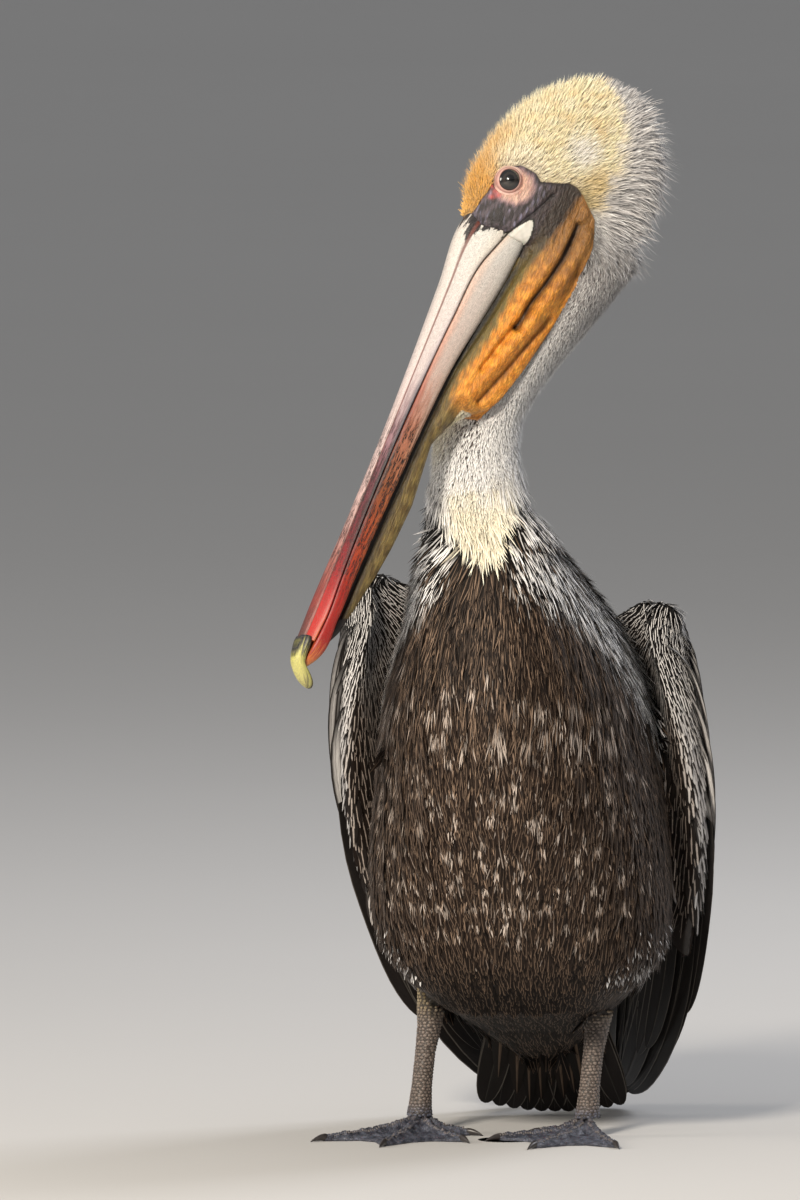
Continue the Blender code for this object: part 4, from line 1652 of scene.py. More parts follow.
        # name, points, spacing, length, width, lift, outline, seed, locks
        for *where, cut, seed, locks in (
            ("head_plush", head & (above > -84), 0.78, (5.5, 8.5), 0.62, (16, 36), strand, 11, (4, 0.12)),
            ("head_nape_plush", head & (above < -72), 0.92, (7, 13), 0.75, (22, 52), strand, 21, (5, 0.25)),
            ("head_crest", head & (above < -80), 3.0, (13, 23), 0.8, (34, 66), strand, 31, (7, 0.5)),
            ("neck_plush_upper", neck & (z > 505), 0.95, (4, 7), 0.9, (22, 44), strand, 41, (4, 0.15)),
            ("neck_plush_lower", neck & (z <= 509), 0.95, (4, 7), 0.9, (22, 44), strand, 51, (4, 0.15)),
            ("head_tufts", tufts, 1.5, (7, 11.5), 0.5, (34, 66), strand, 35, (4, 0.35)),
            ("neck_collar", border, 1.35, (8, 24), 0.95, (8, 24), blade, 61, (7, 0.3)),
        ):
            self.plush(Layer(*where, cut, soft, seed, locks))
        chest = trunk & (z > 290)
        around = np.abs(turn_round(points))
        hem = trunk & (z < 158) & (z > 112) & (around > 0.95) & (around < 2.2)
        streaky = (blade, hair, 75, (9, 0.3), strand_marks)
        self.contour(Layer("breast_feathers", chest, 3.2, (20, 30), 4.2, (6, 12), leaf, firm, 71))
        self.contour(Layer("breast_strands", chest, 1.6, (15, 27), 0.9, (8, 15), *streaky))
        tips = (blade, hair, 99, (6, 0.5), hem_marks)
        self.contour(Layer("hem_tips", hem, 4.4, (9, 14), 1.5, (20, 42), *tips))
        middle = trunk & (z <= 296) & (z > 185)
        for name, part, seed in (("belly", middle, 81), ("vent", trunk & (z <= 191), 91)):
            wide = (3.6, (17, 25), 5.0, (8, 14), leaf, firm, seed)
            fine = (1.68, (9, 15), 0.95, (11, 20), blade, hair, seed + 4, (8, 0.35), strand_marks)
            self.contour(Layer(f"{name}_feathers", part, *wide))
            self.contour(Layer(f"{name}_strands", part, *fine))


# ------------------------------------------------------------------ wings and tail


@dataclass(frozen=True)
class Wing:
    """A folded wing: its surface, the coverts that root in it, and its long feathers.

    A section goes from the lower front edge to the upper rear edge, and sections run from the
    wrist (0) to the tip (1). Distances across are from the bird's middle plane.
    """

    name: str
    side: int
    middle: float = 8.7
    sections: tuple = (
        (0 / 9, 90, -13.7, 360, 85, -1.7, 370, 5),
        (1 / 9, 96, -12.7, 344, 83, 8.3, 372, 11),
        (2 / 9, 111, 6.3, 290, 56, 42.3, 354, 14),
        (3 / 9, 117, 30.3, 236, 36, 82.3, 314, 14),
        (4 / 9, 115, 58.3, 186, 23, 114.3, 264, 13),
        (5 / 9, 106, 90.3, 136, 15, 142.3, 210, 12),
        (6 / 9, 93, 126.3, 84, 9, 164.3, 158, 10),
        (7 / 9, 76, 166.3, 45, 7, 194.3, 110, 7),
        (8 / 9, 53, 208.3, 19, 8, 228.3, 62, 5),
        (9 / 9, 33, 244.3, 8, 14, 256.3, 22, 2.5),
    )
    camber: float = 16.0
    right_lift: float = 18.0
    right_spread: float = 0.09

    def spot(self, place: np.ndarray, share: np.ndarray, out: np.ndarray) -> tuple:
        """Places on the wing, and its outward direction there.

        Args:
            place: From 0 at the wrist to 1 at the tip.
            share: From 0 at the lower front edge to 1 at the upper rear edge.
            out: Height off its middle surface, as a share of its half thickness.

        Returns:
            World places and outward directions.
        """
        place, share, out = (np.array(v, float) for v in np.broadcast_arrays(place, share, out))
        rows = smooth_rows(self.sections, place)
        nearby = [smooth_rows(self.sections, place + k)[:, :3] for k in (-0.02, 0.02)]
        edge, upper, thick = rows[:, :3], rows[:, 3:6], rows[:, 6]
        if self.side < 0:
            lift = self.right_lift * (1 - place) ** 2
            edge, upper = (
                line + np.stack((line[:, 0] * self.right_spread, 0 * lift, lift), axis=1)
                for line in (edge, upper)
            )
        outward = unit(np.cross(nearby[1] - nearby[0], upper - edge))
        bow = np.sin(math.pi * share) * self.camber * np.minimum(1.0, thick / 10)
        points = edge + share[:, None] * (upper - edge) + (bow + out * thick)[:, None] * outward
        points[:, 0] = np.maximum(points[:, 0], 2.0)
        flip = np.array((self.side, 1.0, 1.0))
        return points * flip + (self.middle, 0, 0), outward * flip

    def locate(self, points: np.ndarray) -> tuple:
        """Place along the wing of points near it, and its run and outward direction there.

        Args:
            points: World places.

        Returns:
            Places along, shares across, runs and outward directions.
        """
        grid = np.meshgrid(np.linspace(0, 1, 50), np.linspace(0, 1, 12))
        place, share = (values.reshape(-1) for values in grid)
        spots, outward = self.spot(place, share, 0.0)
        ahead = self.spot(np.minimum(place + 0.03, 1.0), share, 0.0)[0]
        behind = self.spot(np.maximum(place - 0.03, 0.0), share, 0.0)[0]
        tree = KDTree(len(spots))
        for number, spot in enumerate(spots):
            tree.insert(Vector(spot), number)
        tree.balance()
        nearest = np.array([tree.find(Vector(p))[1] for p in points])
        return place[nearest], share[nearest], unit(ahead - behind)[nearest], outward[nearest]

    def coverts(self, ground: Ground, finish: bpy.types.Material, seed: int) -> None:
        """The small streaked feathers that root in the wing's skin.

        Args:
            ground: The skin.
            finish: Their material.
            seed: Seed of the draws.
        """
        chosen = ground.names == f"wing_{self.name}"
        root, up, luck = ground.scatter(chosen, 2.3, seed)
        place, share, run, outward = self.locate(root)
        outer = step(np.sum(up * outward, axis=1), -0.75, -0.25)
        dice = np.random.default_rng(seed + 1)
        keep = dice.random(len(root)) < 1.0 - 0.72 * step(place, 0.14, 0.40)
        early = step(place, 0.16, 0.04)[:, None]
        flow = unit(run * (1 - early) + np.array((0.0, -0.55, -0.85)) * early)
        keep &= (place < 0.52) & ground.open_to_air(root, up, 3)
        keep &= (np.abs(np.sum(flow * up, axis=1)) < 0.6) | (place < 0.2)
        root, up, luck, place, share, flow, outer = (
            v[keep] for v in (root, up, luck, place, share, flow, outer)
        )
        lie = flatten_onto(flow + 0.06 * dice.normal(size=root.shape), up)
        sizes = 9 + 4 * luck + 16 * step(place, 0.12, 0.4)
        width = 2.3 + 0.7 * luck + 4.4 * step(place, 0.12, 0.4)
        lift = np.radians(8 + 8 * dice.random(len(root)))
        marks = wing_marks(luck, place, outer)
        patch = fitted(np.stack((place, share * 0.5 + 0.55 * outer), axis=1))
        cut = Cut(rows=4, base=0.5, widest=0.5, point=1.9, keel=0.22, bend=0.10)
        plumes = Plumes(root, up, lie, sizes, width, lift, marks, patch)
        kept(plumes.build(f"coverts_{self.name}", cut, finish), "silver_plumage")

    def long_feathers(self, pale: bpy.types.Material, dark: bpy.types.Material, seed: int) -> None:
        """The long feathers: silver coverts, then inner and outer flight feathers.

        Args:
            pale: Finish of the silver coverts.
            dark: Finish of the flight feathers.
            seed: Seed of the draws.
        """
        dice = np.random.default_rng(seed)
        silver, flight = [], []
        along = np.linspace(0, 1, 16)
        # start, end, first share, last share, count, width, height out, dark
        rows = (
            (0.42, 1.00, 0.30, 0.75, 9, 22, -0.60, True),
            (0.34, 0.84, 0.20, 0.85, 11, 20, -0.70, True),
            (0.22, 0.56, 0.18, 0.85, 11, 16, -0.80, True),
            (0.55, 1.02, 0.20, 0.75, 10, 22, 0.0, True),
            (0.52, 0.98, 0.12, 0.90, 12, 21, 0.35, True),
            (0.46, 0.86, 0.08, 0.95, 13, 21, 0.60, True),
            (0.38, 0.73, 0.05, 0.96, 14, 19, 0.80, True),
            (0.31, 0.60, 0.05, 0.96, 19, 12, 0.95, False),
            (0.25, 0.48, 0.02, 0.96, 21, 10, 1.05, False),
            (0.19, 0.38, 0.02, 0.96, 23, 8, 1.12, False),
            (0.14, 0.29, 0.03, 0.96, 23, 6.5, 1.18, False),
        )
        for start, end, first, last, count, width, height, is_dark in rows:
            for k in range(count):
                share = first + (last - first) * (k + 0.5 * dice.random()) / count
                drift = dice.normal(0, 0.012)
                begin = start + dice.normal(0, 0.010)
                finish_at = min(end + dice.normal(0, 0.015), 1.02)
                place = np.linspace(begin, finish_at, len(along))
                line = np.clip(share + (drift + 0.04 * (0.5 - share)) * along, 0, 1)
                lift = height + 0.16 * along + 0.05 * k / count
                if not is_dark:
                    lift = lift - 0.8 * along[::-1] ** 6
                blade = (*self.spot(place, line, lift), width * dice.uniform(0.9, 1.1), share)
                (flight if is_dark else silver).append(blade)
        wide = Cut(base=0.6, widest=0.4, point=3.5, round=0.5)
        lance = Cut(base=0.55, widest=0.4, point=1.5, round=0.8)
        marks = shaft_marks(Shade.SLATE, (0.05, 0.40), ink(Shade.SHAFT) * 0.15, 0.06, luck_of(flight))
        made = long_feather_mesh(f"flight_feathers_{self.name}", flight, wide, marks, dark)
        kept(made, "silver_plumage", f"primaries_{self.name}")
        shares = np.array([blade[3] for blade in silver])
        vane = blend(Shade.SLATE, Shade.NIGHT, 0.2 * step(shares, 0.30, 0.05))
        shine = 0.3 + luck_of(silver) * 0.5 + 0.2 * step(shares, 0.25, 0.0)
        streak = blend(Shade.SILVER, Shade.SILVER_EDGE, shine)
        marks = Marks(vane, streak, 0.90 - 0.12 * step(shares, 0.28, 0.05))
        kept(long_feather_mesh(f"silver_coverts_{self.name}", silver, lance, marks, pale), "silver_plumage")


def luck_of(blades: list) -> np.ndarray:
    """One random number from 0 to 1 for each feather, drawn by their count."""
    return np.random.default_rng(len(blades)).random(len(blades))


def shaft_marks(
    paler: Shade, shares: tuple, shaft: np.ndarray, width: float, luck: np.ndarray
) -> Marks:
    """Colours of near-black feathers with one thin paler shaft line.

    Args:
        paler: Shade that night black leans towards.
        shares: Least and greatest lean.
        shaft: Linear colour of the shaft line.
        width: The line's share of the half width.
        luck: One random number for each feather.

    Returns:
        Their marks.
    """
    vane = blend(Shade.NIGHT, paler, between(shares, luck))
    return Marks(vane, np.tile(shaft, (len(luck), 1)), np.full(len(luck), width))


def long_feather_mesh(
    name: str, blades: list, cut: Cut, marks: Marks, finish: bpy.types.Material
) -> bpy.types.Object:
    """Long feathers along given lines, each with a raised shaft and arched vanes.

    Args:
        name: The piece's name.
        blades: For each, its line of places, the outward directions there, its width, and its share
            of the way across its row.
        cut: Their outline.
        marks: Their colours.
        finish: Their material.

    Returns:
        The piece.
    """
    lanes = np.array((-1, -0.6, -0.25, -0.05, 0.0, 0.05, 0.25, 0.6, 1))
    arch = np.array((-0.10, -0.03, -0.01, 0.0, 0.035, 0.0, -0.01, -0.03, -0.10))
    points, own = [], []
    for line, outward, width, _ in blades:
        even = np.linspace(0, 1, len(line))
        t = 1 - (1 - even) ** 1.9
        line, outward = (
            np.stack([np.interp(t, even, column) for column in rows.T], axis=1) for rows in (line, outward)
        )
        side = unit(np.cross(np.gradient(line, axis=0), outward))
        half = np.maximum(width * 0.5 * cut.profile(t), 0.15)[:, None]
        aside = side[:, None] * (half * lanes)[..., None]
        points.append(line[:, None] + aside + outward[:, None] * (half * arch)[..., None])
        own.append(np.stack(np.meshgrid(0.5 + 0.5 * lanes, t), axis=-1))
    points, own = np.array(points), np.array(own)
    count, rows, columns = points.shape[:3]
    faces = copied_faces((grid_faces(rows, columns, False),), count, rows * columns)
    made = mesh_object(name, points, faces, finish)
    strip = ((np.arange(count) + 0.5) / count)[:, None, None]
    sheet = (0.02 + 0.96 * strip + (own[..., 0] - 0.5) * 0.9 / count, 0.05 + 0.9 * own[..., 1])
    dress_feathers(made.data, marks, own, np.stack(sheet, axis=-1))
    return made


@dataclass(frozen=True)
class Tail:
    """A short rounded fan of flight feathers below the rump, with coverts over and under it."""

    root: tuple = (6.7, 104.3, 128.0)
    tip: tuple = (1.7, 184.3, 5.0)
    count: int = 11
    spread: float = 56.0
    width: float = 25.0

    def build(self, dark: bpy.types.Material, pale: bpy.types.Material) -> None:
        """Makes the fan and its coverts.

        Args:
            dark: Finish of the fan.
            pale: Finish of the coverts.
        """
        root, tip = np.array(self.root), np.array(self.tip)
        run = tip - root
        outward = unit(np.cross(run, (-1.0, 0.0, 0.0))[None])[0]
        sideways = np.array((1.0, 0, 0))
        dice = np.random.default_rng(5)
        fan, over = [], []
        t = np.linspace(0, 1, 14)[:, None]
        flat = np.tile(outward, (len(t), 1))
        for start, end, height in ((0.05, 1.02, -2.0), (0.0, 1.01, 1.0)):
            for share in np.linspace(-1, 1, self.count):
                reach = end - 0.08 * share**2
                line = root + run * (start + (reach - start) * t)
                line = line + sideways * share * (14 + (self.spread - 22) * t)
                rise = height + 1.5 * (1 - abs(share)) - 5 * share**2 + 0.3 * dice.random()
                fan.append((line + outward * rise, flat, self.width * (1 - 0.15 * abs(share)), share))
        # start, end, height, count, spread
        for start, end, height, count, spread in (
            (-0.05, 0.55, 7, 9, 34), (-0.1, 0.40, 10, 8, 30), (-0.05, 0.90, -13, 7, 20),
            (-0.05, 0.76, -17, 9, 30), (-0.1, 0.60, -21, 9, 34),
        ):
            for share in np.linspace(-1, 1, count):
                line = root + run * (start + (end - start + dice.normal(0, 0.03)) * t)
                line = line + sideways * share * (spread * 0.7 + spread * 0.5 * t)
                line = line + outward * (height * (1 - 0.6 * t) - 5 * share**2)
                over.append((line, np.sign(height) * flat, 15.0, share))
        luck = np.random.default_rng(2).random(len(fan))
        marks = shaft_marks(Shade.SLATE, (0.15, 0.50), ink(Shade.SHAFT) * 0.08, 0.06, luck)
        wide = Cut(base=0.5, widest=0.5, point=4.0, round=0.5)
        kept(long_feather_mesh("tail_fan", fan, wide, marks, dark), "silver_plumage", "tail")
        luck = np.random.default_rng(4).random(len(over))
        marks = shaft_marks(Shade.DEEP_BROWN, (0.0, 1.0), ink(Shade.TAUPE) * 0.5, 0.22, luck)
        short = Cut(base=0.5, widest=0.45, point=2.0, round=0.6)
        kept(long_feather_mesh("tail_coverts", over, short, marks, pale), "silver_plumage")


# ------------------------------------------------------------------ bill, eyes and claws


def ramp(tree: bpy.types.NodeTree, value: object, stops: tuple) -> bpy.types.NodeSocket:
    """Adds a colour ramp.

    Args:
        tree: The node tree.
        value: Where to read it.
        stops: Places and hex colours.

    Returns:
        The colour socket.
    """
    made = add_node(tree, "ValToRGB", {0: value})
    bar = made.color_ramp
    while len(bar.elements) < len(stops):
        bar.elements.new(0.5)
    for element, (place, _) in zip(bar.elements, stops):
        element.position = place
    for element, (_, shade) in zip(bar.elements, stops):
        element.color = (*linear(shade), 1.0)
    return made.outputs[0]


# Length of bill in millimetres that the colours and the bill's own map are shares of.
BILL_LENGTH = 350.0


@dataclass(frozen=True)
class BillHorn:
    """Keratin plates: satin horn, white and speckled at the base, flushed pink and red to the tip.

    Stops are colours along the bill, in millimetres from the feather line.
    """

    name: str
    ridge: tuple
    flank: tuple
    mouth: tuple
    groove: bool = False
    speck: float = 0.0
    length: float = BILL_LENGTH

    def make(self) -> bpy.types.Material:
        """Builds the material.

        Returns:
            The material.
        """
        material, tree = new_material(self.name)
        place, forward, aside = coordinates(tree, "Bill")
        ways = [
            add_node(tree, "Mapping", {"Vector": place, "Scale": (*scale, 1.0)}).outputs[0]
            for scale in ((26.0, 9.0), (110.0, 26.0))
        ]
        streaks = noise_at(tree, ways[0], 1.0, 6.0, Roughness=0.6)
        fine = noise_at(tree, ways[1], 1.0, 5.0, Roughness=0.65)
        along = maths(tree, "ADD", forward, maths(tree, "MULTIPLY_ADD", streaks, 0.16, -0.08))
        across = maths(tree, "MULTIPLY_ADD", fine, 0.10, maths(tree, "ADD", aside, -0.05))
        top, side, edge = (ramp(tree, along, self._stops(s)) for s in (self.ridge, self.flank, self.mouth))
        colour = mixed(tree, ranged(tree, across, 0.36, 0.46), top, side)
        colour = mixed(tree, ranged(tree, across, 0.66, 0.92), colour, edge)
        if self.groove:
            off_line = maths(tree, "ABSOLUTE", maths(tree, "SUBTRACT", across, 0.42))
            notch = ranged(tree, off_line, 0.0, 0.16, 20.0, 3.0)
            root = maths(tree, "DIVIDE", maths(tree, "MULTIPLY", along, self.length), notch)
            colour = mixed(tree, ranged(tree, root, 0.55, 1.0, 1.0, 0.0), colour, "242022")
            line = maths(tree, "ABSOLUTE", maths(tree, "SUBTRACT", aside, 0.45))
            colour = mixed(tree, ranged(tree, line, 0.012, 0.045, 0.85, 0.0), colour, "6E3428")
        dots = noise_at(tree, ways[1], 3.2, 2.0)
        colour = mixed(tree, ranged(tree, dots, 0.52, 0.66, 0.0, 0.6), colour, "7C7470")
        if self.speck:
            zone = [ranged(tree, forward, *ends) for ends in ((0.34, 0.50), (0.90, 0.70))]
            marks = [ranged(tree, streaks, 0.44, 0.54), ranged(tree, fine, 0.42, 0.54)]
            zone, marks = (maths(tree, "MULTIPLY", *pair) for pair in (zone, marks))
            dark = maths(tree, "MULTIPLY", maths(tree, "MULTIPLY", zone, marks), 1.3 * self.speck)
            colour = mixed(tree, dark, colour, "2A2220")
        # Painted shade and light that follow the fine relief: darker in its pits, lighter on its rises.
        colour = shaded(tree, colour, ranged(tree, fine, 0.25, 0.75, 0.74, 1.1))
        wire(tree, colour, {"Roughness": 0.42, "IOR": 1.54}, (fine, 0.35, 0.5))
        return material

    def _stops(self, stops: tuple) -> tuple:
        """Stops as shares of the bill's length."""
        return tuple((place / self.length, shade) for place, shade in stops)


@dataclass(frozen=True)
class Bill:
    """The two jaws and the hooked nail, as sections carried along the head's own frame."""

    culmen: tuple = ((-14, -5), (0, 0), (47, 0.6), (145, 3.0), (232, 7.4), (300, 12.0), (318, 12.8))
    gape: tuple = (
        (-16, -36), (2, -26.4), (13, -22), (26, -17), (71, -11), (145, -4.7),
        (232, 0.7), (274, 2.4), (300, 2.4), (318, 4.0), (335.5, 5.2),
    )
    chin: tuple = (
        (-16, -46), (5, -43), (32, -39.5), (59, -34), (100, -25.3), (146, -19.8),
        (185, -16.3), (230, -12.3), (267, -9.1), (295, -7.5), (330, -2.3), (335.5, 1.5),
    )
    upper_half: tuple = (
        (-14, 18.5), (0, 20.5), (25, 19), (70, 16), (145, 12.3), (232, 12.2), (290, 14), (318, 11.5),
    )
    lower_half: tuple = (
        (-16, 19), (5, 19.5), (32, 18), (59, 16), (100, 13.5), (146, 11.8), (185, 11.2),
        (230, 11.2), (267, 12), (295, 12), (330, 6.5), (335.5, 2.5),
    )
    nail: tuple = (
        (316, 12.7, 5.2, 10.9), (318.3, 13.0, 4.6, 11.6), (324, 12.9, 4.4, 10.8), (330, 12.2, 4.0, 9.4),
        (334, 11.2, 2.6, 8.4), (337, 9.9, -1.5, 7.5), (340, 7.9, -5.4, 6.4), (343, 5.0, -7.8, 5.1),
        (345.4, 1.8, -8.3, 3.7), (346.9, -1.6, -7.6, 2.3), (347.6, -4.2, -6.4, 0.9),
    )
    # share of half width, share of depth, place between ridge (0) and mouth edge (1)
    upper_section: tuple = (
        (0.0, -0.01, 0.0), (0.16, 0.0, 0.12), (0.30, 0.05, 0.25), (0.40, 0.13, 0.35), (0.445, 0.21, 0.41),
        (0.455, 0.29, 0.45), (0.50, 0.32, 0.48), (0.60, 0.38, 0.54), (0.74, 0.51, 0.64), (0.87, 0.68, 0.76),
        (0.96, 0.84, 0.87), (0.99, 0.92, 0.94), (0.95, 0.975, 0.98), (0.84, 1.0, 1.0), (0.4, 0.97, 1.0),
    )
    lower_section: tuple = (
        (0.4, 0.03, 1.0), (0.80, 0.0, 0.98), (0.92, 0.035, 0.94), (0.985, 0.11, 0.86), (1.0, 0.25, 0.74),
        (0.99, 0.45, 0.58), (0.95, 0.66, 0.40), (0.86, 0.84, 0.22), (0.70, 0.96, 0.08), (0.45, 1.0, 0.0),
    )
    rows: int = 150

    def build(self) -> None:
        """Makes the three pieces."""
        upper = BillHorn(
            "horn of the upper jaw",
            ridge=(
                (0, "D9D3CB"), (110, "D8CBC8"), (190, "D8BCB8"), (225, "C6A09A"), (255, "A8665C"),
                (285, "8A3028"), (318, "54302A"),
            ),
            flank=(
                (0, "D6D5CF"), (110, "CFC1BF"), (160, "947078"), (190, "66303A"), (220, "5E1A24"),
                (250, "84121A"), (285, "B4120C"), (318, "B81A0A"),
            ),
            mouth=(
                (0, "DAD4C8"), (90, "BDB0B2"), (135, "4A4652"), (205, "1C1B22"), (250, "4E151B"),
                (290, "B81810"), (322, "B5500C"),
            ),
            groove=True,
            speck=0.7,
        ).make()
        lower = BillHorn(
            "horn of the lower jaw",
            ridge=(
                (0, "DCDBD6"), (110, "D6C3B8"), (165, "CE8E6C"), (205, "BC622C"), (250, "C8541C"),
                (285, "BC2C0E"), (318, "AC140A"), (334, "D98A4E"),
            ),
            flank=(
                (0, "DCDBD6"), (105, "D6C0B6"), (150, "BE7C62"), (195, "94542E"), (240, "B44418"),
                (280, "B41E0C"), (318, "A01008"), (334, "D8843E"),
            ),
            mouth=(
                (0, "E0D4C8"), (80, "D4A693"), (130, "A85A46"), (190, "54281A"), (240, "7C160C"),
                (285, "B50E0A"), (320, "9C1408"), (334, "C8641E"),
            ),
            speck=1.0,
        ).make()
        nail = BillHorn(
            "horn of the nail",
            ridge=(
                (0, "20202A"), (321, "1E2026"), (326, "6E6C3C"), (333, "C9C470"), (344, "C2BC74"),
                (350, "8C8456"),
            ),
            flank=(
                (0, "1C1D22"), (320, "1C1D22"), (325, "55532E"), (331, "BDBA62"), (344, "B5B16A"),
                (350, "6B6540"),
            ),
            mouth=((0, "2A1A12"), (328, "3A2A1A"), (336, "8D7F48"), (342, "5D5230"), (350, "2C261A")),
        ).make()
        gap = 0.3
        self._jaw("upper", (self.culmen, self.gape), (0, gap), self.upper_half, self.upper_section, upper)
        self._jaw("lower", (self.gape, self.chin), (-gap / 2, 0), self.lower_half, self.lower_section, lower)
        self._nail(nail)

    def _jaw(
        self, jaw: str, edges: tuple, shifts: tuple, halves: tuple, section: tuple, finish: bpy.types.Material
    ) -> None:
        """Carries a mirrored half section along the bill, between the jaw's upper and lower edge.

        Args:
            jaw: Upper or lower.
            edges: Lines of its upper and lower edge.
            shifts: What is added to each edge's height.
            halves: Half widths along it.
            section: Half section, mirrored for the other side.
            finish: Its material.
        """
        t = (1 - np.cos(np.linspace(0, math.pi, self.rows))) / 2
        at = between((halves[0][0], halves[-1][0]), t)
        top, bottom = (smooth_rows(line, at)[:, 0] + shift for line, shift in zip(edges, shifts))
        half = smooth_rows(halves, at)
        side, down, lane = np.array(section).T
        across = np.concatenate((side, -side[::-1]))
        drop, lanes = (np.concatenate((values, values[::-1])) for values in (down, lane))
        above = top[:, None] - (top - bottom)[:, None] * drop
        made = tube(f"bill_{jaw}_horn", HEAD.world(at[:, None], half * across, above), finish)
        self._map(made, np.maximum(at, 0), lanes)
        kept(made, "bill_horn", f"bill_{jaw}")

    @staticmethod
    def _map(made: bpy.types.Object, at: np.ndarray, lanes: np.ndarray) -> None:
        """Lays the map that the horn's colours are read from."""
        own = np.stack(np.broadcast_arrays(at[:, None] / BILL_LENGTH, lanes[None]), axis=-1)
        lay_map(made.data, "Bill", own.reshape(-1, 2))

    def _nail(self, finish: bpy.types.Material) -> None:
        """The hooked nail at the end of the upper jaw.

        Args:
            finish: Its material.
        """
        at = np.concatenate((np.linspace(316, 335, 14), np.linspace(335.6, 347.6, 26)))
        high, low, half = smooth_rows(self.nail, at).T[..., None]
        around = 28
        angle = np.arange(around) * math.tau / around
        across, above = (np.sign(v) * np.abs(v) ** (2 / 2.2) for v in (np.cos(angle), np.sin(angle)))
        points = HEAD.world(at[:, None], half * across, (high + low) / 2 + (high - low) / 2 * above)
        made = tube("nail_horn", points, finish)
        self._map(made, at, np.clip(0.5 - 0.5 * above, 0, 1))
        kept(made, "nail_horn", "bill_nail")


# Millimetres off the eye's axis that fill the iris's own map.
IRIS_MAP = 24.0


